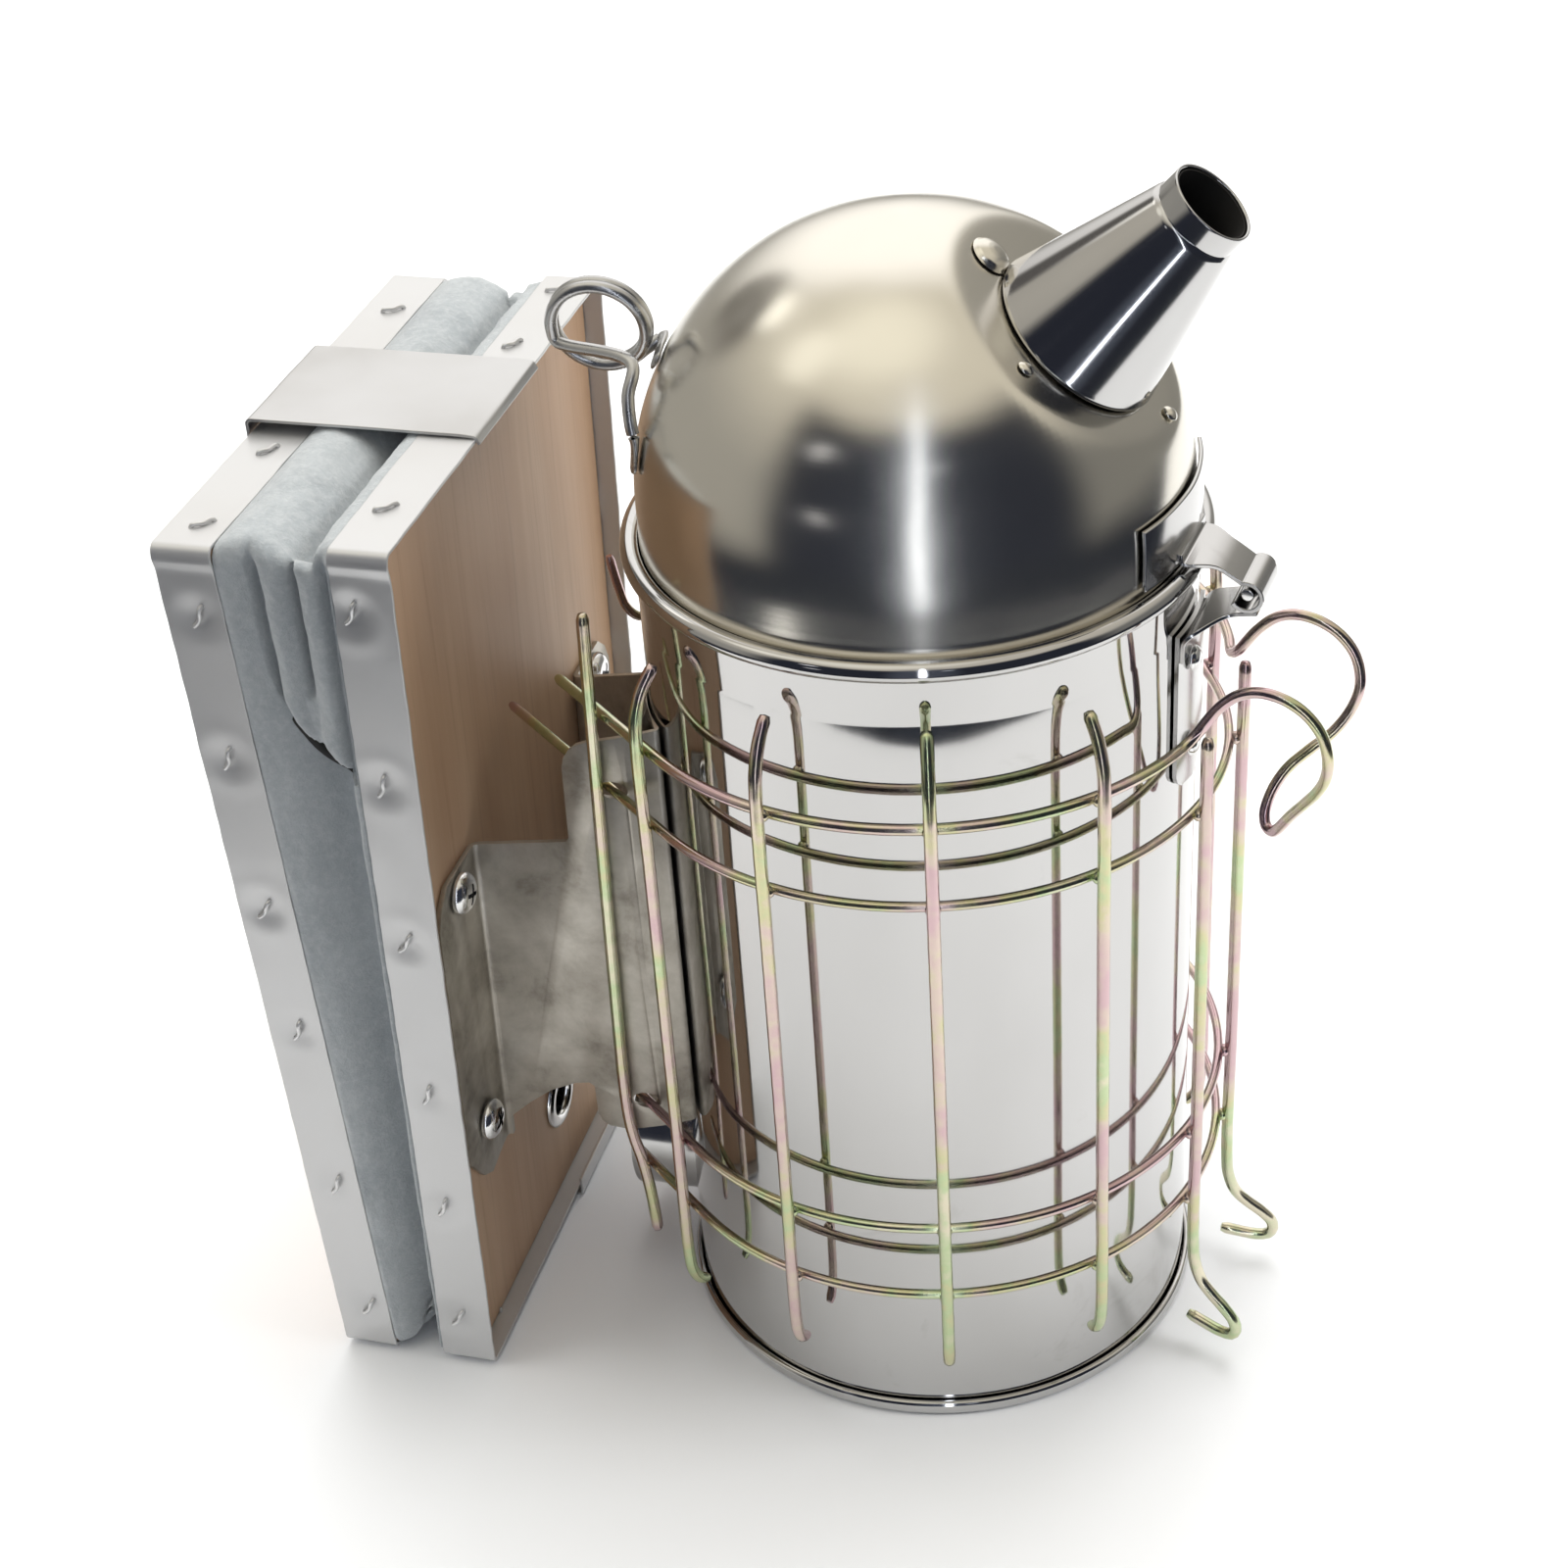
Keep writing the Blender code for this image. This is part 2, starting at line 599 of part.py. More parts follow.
def make_bars():
    front_foot = [(59.0, 6.9), (62.2, 6.2), (66.3, 5.5), (68.7, 5.9), (69.6, 7.5), (69.1, 9.7), (67.0, 12.1)]
    front_foot += [(64.3, 14.4), (61.7, 17.2), (60.1, 21.5), (BAR_R, 26.5), (BAR_R, 90.0), (BAR_R, 145.6)]
    number = 0
    for side in (-1, 1):
        shapes = [front_foot, *(side_bar_shape(foot, top) for foot, top in BAR_ENDS)]
        for angle, shape in zip((FRONT_BAR_ANGLE, *BAR_ANGLES), shapes):
            number += 1
            turn = math.radians(side * angle)
            points = [(r * math.cos(turn), r * math.sin(turn), z) for r, z in shape]
            wire(f"guard_bar_{number}", points, BAR_WIRE, ZINC_WIRE, turned=HEAD_TURN)
        number += 1
        side_bar = [(-51.9, 21.5), (-52.5, 31.0), (-53.7, 40.4), (-54.9, 46.0), (-55.6, 53.1), (-55.2, 90.0)]
        side_bar += [(-53.7, 152.7), (-53.3, 167.6)]
        points = [local(x, SIDE_BAR_Y, z) for x, z in side_bar]
        wire(f"guard_bar_{number}", [(x, -side * y, z) for x, y, z in points], BAR_WIRE, ZINC_WIRE, turned=HEAD_TURN)


# Bracket and bellows.


def make_bracket():
    half = [(FLANGE_X, -FLANGE_END_Y), (FLANGE_X, -ARM_Y), (-47.0, -ARM_Y)]
    start = 180 + math.degrees(math.asin(ARM_Y / WEB_R)) - 0.4
    web = list(circle((0, 0), WEB_R, start, 360 - start, 16))
    path = half + web + [(x, -y) for x, y in half[::-1]]
    bracket = prism("bracket", sheet_outline(path, SHEET), "z", 36, 150, GALVANISED)
    above = [(-90, 160), (-90, 112), (-62.4, 116.2), (-61.7, 117.0), (-61.4, 133.0), (-60.4, 136.4), (-57.4, 138.6)]
    above += [(-50.7, 140.6), (-38, 144.5), (-38, 160)]
    combine(bracket, prism("bracket_top_cut", above, "y", -70, 70, cutter=True), "DIFFERENCE")
    below = [(-80.9, 30), (-80.9, 45.4), (-76.5, 49.8), (-71.8, 53.8), (-66.5, 56.6), (-62.9, 57.2), (-62.5, 48.6)]
    below += [(-60.4, 46.4), (-56.0, 46.2), (-49.0, 48.4), (-38, 52.5), (-38, 30)]
    combine(bracket, prism("bracket_foot_cut", below, "y", -70, 70, cutter=True), "DIFFERENCE")
    low = [(29, 30), (29, 41.0), (36.0, 39.8), (40.5, 38.6), (44.5, 41.0), (51, 49.5), (51, 30)]
    high = [(44.5, 120), (44.5, 113.5), (48.6, 110.0), (51, 105.0), (51, 120)]
    for k, side in enumerate((-1, 1)):
        for j, waste in enumerate((low, high)):
            outline = [(side * y, z) for y, z in waste]
            name = f"flange_cut_{k}_{j}"
            combine(bracket, prism(name, outline, "x", -90, -81.0, cutter=True), "DIFFERENCE")
    for k, side in enumerate((-1, 1)):
        for j, z in enumerate(SCREW_HEIGHTS):
            name = f"flange_hole_{k}_{j}"
            ends = ((-90, side * SCREW_Y, z), (-80, side * SCREW_Y, z))
            combine(bracket, cylinder(name, SCREW_HOLE_R, *ends, cutter=True, steps=14), "DIFFERENCE")
    way = Vector((-0.758, 0.652, 0))
    for k, z in enumerate(RING_HEIGHTS[1:3]):
        spot = Vector((-52.3, -ARM_Y, z))
        hole = cylinder(f"wire_hole_{k}", 1.9, spot - way * 5, spot + way * 5, cutter=True, steps=14)
        combine(bracket, hole, "DIFFERENCE")
    lean(bake(bracket))


def lean(obj):
    """Leans the flange end of a part to lie flat on the sloping front board."""
    for point in obj.data.vertices:
        share = min(1.0, max(0.0, (-0.062 - point.co.x) / 0.016))
        point.co.x += share * FRONT_LEAN * (point.co.z - 0.082)


def make_bracket_screws():
    number = 0
    for side in (-1, 1):
        for z in SCREW_HEIGHTS:
            number += 1
            profile = [(0.0, -7.5), (0.8, -6.5), (1.7, -5.0), (1.7, 0.0), (4.3, 0.0), (4.3, 0.8), (3.6, 2.0)]
            profile += [(2.2, 2.6), (0.9, 2.7), (0.9, 2.0), (0.0, 2.0)]
            screw = revolve(f"bracket_screw_{number}", profile, 14, CHROME)
            shift = FRONT_LEAN * (z - 82)
            place(screw, (FLANGE_X + SHEET / 2 + GAP + shift, side * SCREW_Y, z), (1, 0, -FRONT_LEAN))


def make_board(name, plane, top, sign):
    """One wooden board. The sign is +1 when its outer face looks along +X."""
    outer = board_loop(plane, -sign * LIP, top, STRIP_T + GAP)
    inner = board_loop(plane, -sign * WOOD_IN, top, STRIP_T + GAP)
    return loft(name, [outer, inner], PLYWOOD)


def make_strip(name, plane, top, sign):
    """The bright band folded round a board's four edges."""
    loops = [
        board_loop(plane, 0.0, top, 0.0),
        board_loop(plane, -sign * STRIP_W, top, 0.0),
        board_loop(plane, -sign * STRIP_W, top, STRIP_T),
        board_loop(plane, 0.0, top, STRIP_T),
    ]
    loft(name, loops, TINPLATE, ring=True)


def make_boards():
    front = make_board("front_board", front_plane, FRONT_TOP, 1)
    for k, side in enumerate((-1, 1)):
        for j, z in enumerate(SCREW_HEIGHTS):
            x = front_plane(z)
            ends = ((x - 20, side * SCREW_Y, z), (x + 5, side * SCREW_Y, z))
            name = f"screw_hole_{k}_{j}"
            combine(front, cylinder(name, SCREW_HOLE_R, *ends, cutter=True, steps=14), "DIFFERENCE")
    ends = ((-110, 0, OUTLET_Z), (-70, 0, OUTLET_Z))
    combine(front, cylinder("outlet_hole", 5.6, *ends, cutter=True, steps=24), "DIFFERENCE")
    rear = make_board("rear_board", rear_plane, REAR_TOP, -1)
    ends = ((-140, 0, INTAKE_Z), (-90, 0, INTAKE_Z))
    combine(rear, cylinder("intake_hole", INTAKE_R, *ends, cutter=True, steps=28), "DIFFERENCE")
    make_strip("front_edge_strip", front_plane, FRONT_TOP, 1)
    make_strip("rear_edge_strip", rear_plane, REAR_TOP, -1)


def make_outlet_eyelet():
    profile = [(7.3, 0.0), (7.1, 0.6), (6.2, 1.0), (4.6, 0.8), (4.2, 0.0), (4.2, -6.8), (5.1, -6.8), (5.1, 0.0)]
    eyelet = revolve("outlet_eyelet", profile, 28, BRIGHT_WIRE, axis_ends=False)
    x = front_plane(OUTLET_Z) - LIP + GAP
    place(eyelet, (x, 0, OUTLET_Z), (1, 0, -FRONT_LEAN))


def cover_point(y, z, share):
    """A point between the boards' inner edges, by its share of the way from the rear board to the front one."""
    low = rear_plane(z) + STRIP_W + GAP
    high = front_plane(z) - STRIP_W - GAP
    return (low + (high - low) * share, y, z)


def make_cover():
    """The soft cover between the boards, folded inward near the front board."""
    outer = [(0.0, 0.9), (0.16, 0.3), (0.34, 0.9), (0.52, 3.2), (0.66, 5.2), (0.8, 4.4), (0.92, 1.8), (1.0, 0.9)]
    inner = [(1.0, 2.4), (0.9, 4.0), (0.8, 6.4), (0.66, 7.2), (0.5, 5.0), (0.3, 2.6), (0.16, 2.0), (0.0, 2.4)]
    top = (FRONT_TOP + REAR_TOP) / 2
    loops = []
    for share, inset in outer + inner:
        loop = rounded(BOARD_HALF, BOARD_BOTTOM, top, inset, 5.0, 3)
        loops.append([cover_point(y, z, share) for y, z in loop])
    loft("bellows_cover", loops, SUEDE, ring=True)


def make_spring():
    start = rear_plane(SPRING_Z) + WOOD_IN + GAP + SPRING_WIRE
    end = front_plane(SPRING_Z) - WOOD_IN - GAP - SPRING_WIRE
    points = []
    steps = SPRING_TURNS * 14
    for i in range(steps + 1):
        turn = 2 * math.pi * SPRING_TURNS * i / steps
        y, z = SPRING_R * math.cos(turn), SPRING_R * math.sin(turn)
        share = min(1.0, max(0.0, (i - 7) / (steps - 14)))
        points.append((start + 0.5 + (end - start - 1.0) * share, y, SPRING_Z + z))
    wire("bellows_spring", points, SPRING_WIRE, BRIGHT_WIRE, sides=1)


def make_valve_flap():
    low, high = INTAKE_Z - 13.0, INTAKE_Z + 13.0
    x = [rear_plane(z) + WOOD_IN + GAP for z in (low, high)]
    outline = [(x[0], low), (x[1], high), (x[1] + 1.2, high), (x[0] + 1.2, low)]
    prism("valve_flap", outline, "y", -13, 13, FLAP_LEATHER)


def clip_path(low_x, high_x, z, way, rear_lip, front_lip):
    """The bent line of a plate with a lip at each end, way being -1 where the lips point down."""
    path = [(low_x, z + way * rear_lip), (low_x, z + way * 0.6), (low_x + 0.6, z)]
    return path + [(high_x - 0.8, z), (high_x - 0.1, z + way * 0.4), (high_x, z + way * front_lip)]


def make_clips():
    t = STRAP_T
    low = rear_plane(REAR_TOP) - GAP - t / 2
    high = front_plane(FRONT_TOP) + GAP + t / 2
    top = clip_path(low, high, FRONT_TOP + GAP + t / 2, -1, 4.6, 1.6)
    prism("retaining_strap", sheet_outline(top, t), "y", -14.6, 17.0, TINPLATE)
    low = rear_plane(BOARD_BOTTOM) - 2 * GAP - t / 2
    high = front_plane(BOARD_BOTTOM) + 2 * GAP + t / 2
    foot = clip_path(low, high, BOARD_BOTTOM - GAP - t / 2, 1, 4.4, 4.4)
    prism("bottom_strap", sheet_outline(foot, t), "y", -4.0, 27.5, TINPLATE)


clear_scene()
PARTS = collection("hand_smoker")
CUTTERS = collection("cutters", hidden=True)
STEEL_MIRROR = material("steel_mirror", (0.72, 0.72, 0.71), 1.0, 0.08)
STEEL_BRUSHED = material("steel_brushed", (0.66, 0.64, 0.6), 1.0, 0.3)
GRATE_STEEL = material("grate_steel", (0.4, 0.4, 0.4), 1.0, 0.5)
GALVANISED = material("galvanised", (0.45, 0.44, 0.41), 1.0, 0.45)
TINPLATE = material("tinplate", (0.78, 0.77, 0.77), 1.0, 0.3)
ZINC_WIRE = material("zinc_wire", (0.6, 0.55, 0.36), 1.0, 0.3)
BRIGHT_WIRE = material("bright_wire", (0.7, 0.7, 0.68), 1.0, 0.25)
CHROME = material("chrome", (0.8, 0.8, 0.8), 1.0, 0.1)
PLYWOOD = material("plywood", (0.4, 0.22, 0.13), 0.0, 0.55)
SUEDE = material("suede", (0.5, 0.54, 0.56), 0.0, 0.95)
FLAP_LEATHER = material("flap_leather", (0.3, 0.2, 0.13), 0.0, 0.8)

make_can()
make_can_base()
make_grate()
make_air_tube()
make_dome()
make_nozzle()
make_nozzle_bosses()
make_handle()
make_upper_leaf()
make_lower_leaf()
make_pin()
make_rings()
make_bars()
make_bracket()
make_bracket_screws()
make_boards()
make_outlet_eyelet()
make_cover()
make_spring()
make_valve_flap()
make_clips()
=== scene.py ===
"""The looks of a hand smoker on a pale table: metal, wire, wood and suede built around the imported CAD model.

All lengths are millimetres until a mesh is made. The lid, hinge and guard share a frame, the head, which is
turned about the pot's axis.
"""

from math import acos, asin, cos, degrees, exp, log, pi, radians, sin, sqrt

import bmesh
import bpy
from mathutils import Matrix, Vector, noise


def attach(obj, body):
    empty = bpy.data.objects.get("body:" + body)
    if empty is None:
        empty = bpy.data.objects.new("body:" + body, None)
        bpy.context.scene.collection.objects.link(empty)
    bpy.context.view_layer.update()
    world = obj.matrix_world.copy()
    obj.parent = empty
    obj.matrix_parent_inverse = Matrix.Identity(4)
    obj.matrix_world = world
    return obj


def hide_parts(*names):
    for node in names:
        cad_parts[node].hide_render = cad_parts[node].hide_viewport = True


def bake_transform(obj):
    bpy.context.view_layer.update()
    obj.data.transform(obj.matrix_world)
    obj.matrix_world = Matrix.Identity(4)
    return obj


MM = 0.001
HEAD = Matrix.Rotation(radians(-6.5), 4, "Z")
WORLD = Matrix.Identity(4)

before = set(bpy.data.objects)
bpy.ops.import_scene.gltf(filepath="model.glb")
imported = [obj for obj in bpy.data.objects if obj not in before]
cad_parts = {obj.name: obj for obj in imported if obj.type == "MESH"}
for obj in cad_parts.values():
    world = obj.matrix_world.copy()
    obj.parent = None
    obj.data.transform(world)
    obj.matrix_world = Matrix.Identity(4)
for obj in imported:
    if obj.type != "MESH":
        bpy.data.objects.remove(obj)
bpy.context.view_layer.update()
scene = bpy.context.scene
scene.view_settings.view_transform = "Standard"


# Camera.


def make_camera():
    azimuth, elevation, roll = (radians(a) for a in (17.44, 33.795, -4.031))
    reach = cos(elevation)
    back = Vector((sin(azimuth) * reach, -cos(azimuth) * reach, sin(elevation)))
    level = Vector((cos(azimuth), sin(azimuth), 0))
    up = back.cross(level)
    right = level * cos(roll) + up * sin(roll)
    up = back.cross(right)
    data = bpy.data.cameras.new("camera")
    data.lens = 64.958
    data.sensor_width = 36
    data.clip_start = 0.01
    camera = bpy.data.objects.new("camera", data)
    scene.collection.objects.link(camera)
    turn = Matrix((right, up, back)).transposed().to_4x4()
    camera.matrix_world = Matrix.Translation((0.10885, -0.43663, 0.41918)) @ turn
    scene.camera = camera


# Node materials.


class Nodes:
    """A node tree and short ways to add to it."""

    def __init__(self, tree):
        self.tree = tree

    def put(self, socket, value):
        if isinstance(value, bpy.types.NodeSocket):
            self.tree.links.new(value, socket)
        else:
            socket.default_value = value

    def add(self, kind, props=None, *values, **inputs):
        """Adds a node, then sets its properties and its inputs, in order or by name."""
        node = self.tree.nodes.new("ShaderNode" + kind)
        for key, value in (props or {}).items():
            setattr(node, key, value)
        for socket, value in zip(node.inputs, values):
            self.put(socket, value)
        for key, value in inputs.items():
            self.put(node.inputs[key.replace("_", " ")], value)
        return node

    def mix(self, factor, one, two):
        node = self.add("Mix", {"data_type": "RGBA"})
        for slot, value in ((0, factor), (6, one), (7, two)):
            self.put(node.inputs[slot], value)
        return node.outputs[2]


class Shade(Nodes):
    """A Principled material."""

    def __init__(self, name, **settings):
        self.mat = bpy.data.materials.new(name)
        self.mat.use_nodes = True
        super().__init__(self.mat.node_tree)
        self.bsdf = self.tree.nodes["Principled BSDF"]
        self.set(**settings)

    def set(self, **settings):
        for key, value in settings.items():
            self.put(self.bsdf.inputs[key.replace("_", " ")], value)

    def noise(self, scale, detail=3.0, stretch=(1, 1, 1), roughness=0.5, distortion=0.0):
        """Noise whose scale is its number of lumps in a metre."""
        coords = self.add("TexCoord").outputs["Object"]
        mapping = self.add("Mapping", Vector=coords, Scale=stretch).outputs[0]
        shape = {"Scale": scale, "Detail": detail, "Roughness": roughness, "Distortion": distortion}
        return self.add("TexNoise", Vector=mapping, **shape).outputs["Fac"]

    def ramp(self, factor, *stops):
        node = self.add("ValToRGB", Fac=factor)
        elements = node.color_ramp.elements
        while len(elements) < len(stops):
            elements.new(0.5)
        for element, (spot, color) in zip(elements, stops):
            element.position = spot
            element.color = (*color, 1)
        return node.outputs["Color"]

    def level(self, factor, low, high, start=0.0, end=1.0):
        node = self.add("MapRange", Value=factor, From_Min=start, From_Max=end, To_Min=low, To_Max=high)
        return node.outputs["Result"]

    def finish(self, color, roughness, *bumps):
        """Sets the colour, the roughness and bumps of (height socket, strength, depth in millimetres)."""
        self.set(Base_Color=color, Roughness=roughness)
        normal = None
        for height, strength, depth in bumps:
            node = self.add("Bump", Height=height, Strength=strength, Distance=depth * MM)
            if normal:
                self.put(node.inputs["Normal"], normal)
            normal = node.outputs["Normal"]
        self.set(Normal=normal)
        return self.mat


def grey(value, warm=0.0):
    return (value * (1 + warm), value, value * (1 - warm), 1)


def mirror_steel(name, low, high, stains, bright=1.0):
    """Polished sheet with faint drawing lines, dull smears and darker stains."""
    shade = Shade(name, Metallic=1.0)
    smear = shade.noise(18, 4, stretch=(1, 1, 0.5))
    lines = shade.noise(900, 2, stretch=(1, 1, 0.15))
    dull, bright = grey(0.50 * bright, 0.012), grey(0.57 * bright, 0.008)
    clean = shade.mix(shade.level(smear, 0, 1, 0.3, 0.7), dull, bright)
    spots = shade.noise(34, 5, roughness=0.65, distortion=0.6)
    color = shade.mix(shade.level(spots, 0, stains, 0.62, 0.78), clean, grey(0.3, 0.06))
    roughness = shade.level(smear, low, high, 0.35, 0.7)
    return shade.finish(color, roughness, (smear, 0.05, 0.5), (lines, 0.03, 0.03))


def spun_steel(name):
    """Satin steel, polished round and round."""
    shade = Shade(name, Metallic=1.0, Anisotropic=0.6)
    shade.set(Tangent=shade.add("Tangent", {"direction_type": "RADIAL", "axis": "Z"}).outputs[0])
    smear = shade.noise(22, 5)
    rings = shade.noise(60, 6, stretch=(0.15, 0.15, 14))
    fine = shade.noise(2600, 2)
    color = shade.mix(smear, (0.66, 0.63, 0.56, 1), (0.80, 0.77, 0.70, 1))
    bumps = (rings, 0.06, 0.1), (fine, 0.05, 0.02)
    return shade.finish(color, shade.level(smear, 0.16, 0.22, 0.3, 0.7), *bumps)


def tin(name, color=0.61, metal=0.55):
    """Thin dulled tinplate with soft waves, smears and small pits."""
    shade = Shade(name, Metallic=metal)
    smear = shade.noise(26, 5, roughness=0.6)
    color = shade.mix(smear, grey(color * 0.9, -0.01), grey(color, 0.01))
    bumps = (shade.noise(42, 2), 0.2, 0.5), (shade.noise(620, 3), 0.03, 0.02)
    return shade.finish(color, shade.level(smear, 0.28, 0.5, 0.3, 0.7), *bumps)


def galvanised_sheet(name):
    """Dull zinc with darker blotches and thin scratches."""
    shade = Shade(name, Metallic=0.85)
    blotch = shade.noise(70, 6, roughness=0.65, distortion=0.25)
    cloud = shade.noise(16, 3)
    scratch = shade.noise(420, 3, stretch=(0.25, 1, 2.2))
    stops = (0.28, (0.22, 0.2, 0.165)), (0.45, (0.43, 0.4, 0.35)), (0.7, (0.6, 0.57, 0.51))
    base = shade.ramp(blotch, *stops)
    color = shade.mix(shade.level(cloud, 0, 0.4, 0.45, 0.75), base, (0.27, 0.24, 0.2, 1))
    bumps = (cloud, 0.3, 0.6), (blotch, 0.12, 0.08), (scratch, 0.05, 0.04)
    return shade.finish(color, shade.level(blotch, 0.5, 0.36, 0.3, 0.7), *bumps)


def zinc_wire(name):
    """Yellow zinc plating: green, gold and pink patches along the wire."""
    shade = Shade(name, Metallic=1.0)
    patch = shade.noise(27, 4, roughness=0.6, distortion=0.4)
    fine = shade.noise(340, 4)
    tone = shade.add("Math", {"operation": "MULTIPLY_ADD"}, fine, 0.22, patch).outputs[0]
    stops = ((0.5, (0.60, 0.43, 0.45)), (0.58, (0.64, 0.54, 0.46)), (0.64, (0.60, 0.57, 0.35)))
    stops += ((0.7, (0.50, 0.60, 0.36)), (0.79, (0.70, 0.65, 0.50)))
    bumps = (fine, 0.08, 0.04), (shade.noise(70, 2), 0.15, 0.1)
    return shade.finish(shade.ramp(tone, *stops), shade.level(fine, 0.12, 0.26), *bumps)


def steel_wire(name, color, low, high):
    shade = Shade(name, Metallic=1.0)
    fine = shade.noise(420, 4)
    color = shade.mix(shade.noise(90, 3), grey(color * 0.75), grey(color))
    return shade.finish(color, shade.level(fine, low, high), (fine, 0.12, 0.05))


def plywood(name):
    """Tan board, its grain running up, with darker pores and a faint sheen."""
    shade = Shade(name, Metallic=0.0)
    grain = shade.noise(150, 8, stretch=(1, 1, 0.045), roughness=0.62, distortion=0.35)
    figure = shade.noise(24, 4, stretch=(1, 1, 0.18), distortion=0.9)
    pore = shade.noise(900, 3, stretch=(1, 1, 0.02))
    stops = (0.3, (0.48, 0.305, 0.19)), (0.5, (0.55, 0.365, 0.235)), (0.72, (0.62, 0.435, 0.29))
    tone = shade.ramp(figure, *stops)
    tone = shade.mix(shade.level(grain, 0, 0.22, 0.42, 0.66), tone, (0.38, 0.21, 0.12, 1))
    tone = shade.mix(shade.level(pore, 0, 0.16, 0.56, 0.7), tone, (0.25, 0.13, 0.07, 1))
    return shade.finish(tone, shade.level(grain, 0.42, 0.6), (grain, 0.25, 0.12), (pore, 0.3, 0.08))


def suede(name):
    """Pale blue-grey split leather with a fuzzy nap."""
    shade = Shade(name, Metallic=0.0, Sheen_Weight=0.35, Sheen_Roughness=0.6)
    cloud = shade.noise(38, 5, roughness=0.6)
    nap = shade.noise(700, 6, roughness=0.75)
    fibre = shade.noise(2100, 4, stretch=(1, 1.6, 0.7))
    tone = shade.mix(shade.level(cloud, 0, 1, 0.32, 0.68), (0.32, 0.35, 0.37, 1), (0.43, 0.46, 0.475, 1))
    tone = shade.mix(shade.level(nap, 0, 0.55, 0.45, 0.72), tone, (0.56, 0.58, 0.585, 1))
    return shade.finish(tone, 0.95, (cloud, 0.3, 0.7), (nap, 0.9, 0.35), (fibre, 0.5, 0.1))


def mottled(name, scale, detail, dark, light, roughness, strength, depth):
    """A dull surface in two shades, with a bump of the same lumps."""
    shade = Shade(name, Metallic=0.0)
    cloud = shade.noise(scale, detail)
    return shade.finish(shade.mix(cloud, dark, light), roughness, (cloud, strength, depth))


def paper(name):
    shade = Shade(name, Metallic=0.0)
    color = shade.mix(shade.noise(6, 3), (0.85, 0.865, 0.89, 1), (0.87, 0.885, 0.91, 1))
    return shade.finish(color, 0.7, (shade.noise(900, 2), 0.02, 0.05))


POT_STEEL = mirror_steel("pot_steel", 0.03, 0.09, 0.5)
NOZZLE_STEEL = mirror_steel("nozzle_steel", 0.07, 0.13, 0.12, 0.94)
HINGE_STEEL = mirror_steel("hinge_steel", 0.12, 0.26, 0.35)
DOME_STEEL = spun_steel("dome_steel")
TIN = tin("edge_tin")
STRAP_TIN = tin("strap_tin", 0.62, 1)
# Near-black: real soot lining the spout, and also the painted shade strip under the suede fold's lip.
SOOT_AND_PAINTED_SHADE = mottled("spout_soot", 120, 4, grey(0.006), grey(0.02, 0.1), 0.8, 0.3, 0.2)
ZINC_SHEET = galvanised_sheet("zinc_sheet")
ZINC_WIRE = zinc_wire("zinc_wire")
COIL_WIRE = steel_wire("coil_wire", 0.62, 0.22, 0.36)
SCREW_STEEL = steel_wire("screw_steel", 0.85, 0.08, 0.2)
STAPLE_STEEL = tin("staple_tin", 0.72, 0.75)
GRATE_STEEL = steel_wire("grate_steel", 0.4, 0.35, 0.55)
BOARD = plywood("board_wood")
SUEDE = suede("cover_suede")
LEATHER = mottled("flap_leather", 500, 5, (0.2, 0.12, 0.07, 1), (0.34, 0.22, 0.14, 1), 0.75, 0.4, 0.15)
PAPER = paper("table_paper")


# Meshes.


SLOTS = {
    POT_STEEL: "steel_mirror",
    NOZZLE_STEEL: "steel_mirror",
    HINGE_STEEL: "steel_brushed",
    DOME_STEEL: "steel_brushed",
    TIN: "tinplate",
    STRAP_TIN: "tinplate",
    ZINC_SHEET: "galvanised",
    ZINC_WIRE: "zinc_wire",
    COIL_WIRE: "bright_wire",
    SCREW_STEEL: "bright_wire",
    STAPLE_STEEL: "bright_wire",
    SUEDE: "suede",
}


def piece(name, shape, mat, body, stands_for=(), slot=None, place=WORLD, sharp=40, modify=None, edge=None):
    """A visible piece from (points, faces) in millimetres, placed, smoothed and put on its CAD body.

    Its slot, its material's usual one unless another is given, is worked out but not used.
    """
    points, faces = shape
    mesh = bpy.data.meshes.new(name)
    mesh.from_pydata([place @ Vector(p) * MM for p in points], [], faces)
    shell = bmesh.new()
    shell.from_mesh(mesh)
    bmesh.ops.recalc_face_normals(shell, faces=shell.faces)
    if shell.calc_volume(signed=True) < 0:
        bmesh.ops.reverse_faces(shell, faces=shell.faces)
    shell.to_mesh(mesh)
    shell.free()
    obj = bpy.data.objects.new(name, mesh)
    scene.collection.objects.link(obj)
    if modify:
        modify(obj)
        settle(obj)
    obj.data.materials.clear()
    obj.data.materials.append(mat)
    obj.data.shade_smooth()
    obj.data.set_sharp_from_angle(angle=radians(sharp))
    if body:
        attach(obj, body)
    if stands_for:
        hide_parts(*stands_for)
    slot = slot or SLOTS.get(mat)
    if edge:
        bevel(obj, *edge)
    return obj


def settle(obj):
    """Applies every modifier."""
    graph = bpy.context.evaluated_depsgraph_get()
    mesh = bpy.data.meshes.new_from_object(obj.evaluated_get(graph))
    obj.modifiers.clear()
    obj.data = mesh


def cut(obj, shape, place=WORLD, solver="EXACT"):
    """Cuts a closed helper shape away, and removes the helper."""
    tool = piece("tool", shape, PAPER, None, place=place)
    step = obj.modifiers.new("cut", "BOOLEAN")
    step.operation = "DIFFERENCE"
    step.solver = solver
    step.object = tool
    settle(obj)
    bpy.data.objects.remove(tool, do_unlink=True)


def repaint(node, mat):
    """Gives a CAD node that is shown as it is its material."""
    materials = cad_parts[node].data.materials
    materials.clear()
    materials.append(mat)


def bevel(obj, width, angle):
    """Rounds the edges that are sharper than the angle."""
    step = obj.modifiers.new("bevel", "BEVEL")
    step.width = width * MM
    step.segments = 2
    step.limit_method = "ANGLE"
    step.angle_limit = radians(angle)
    settle(obj)


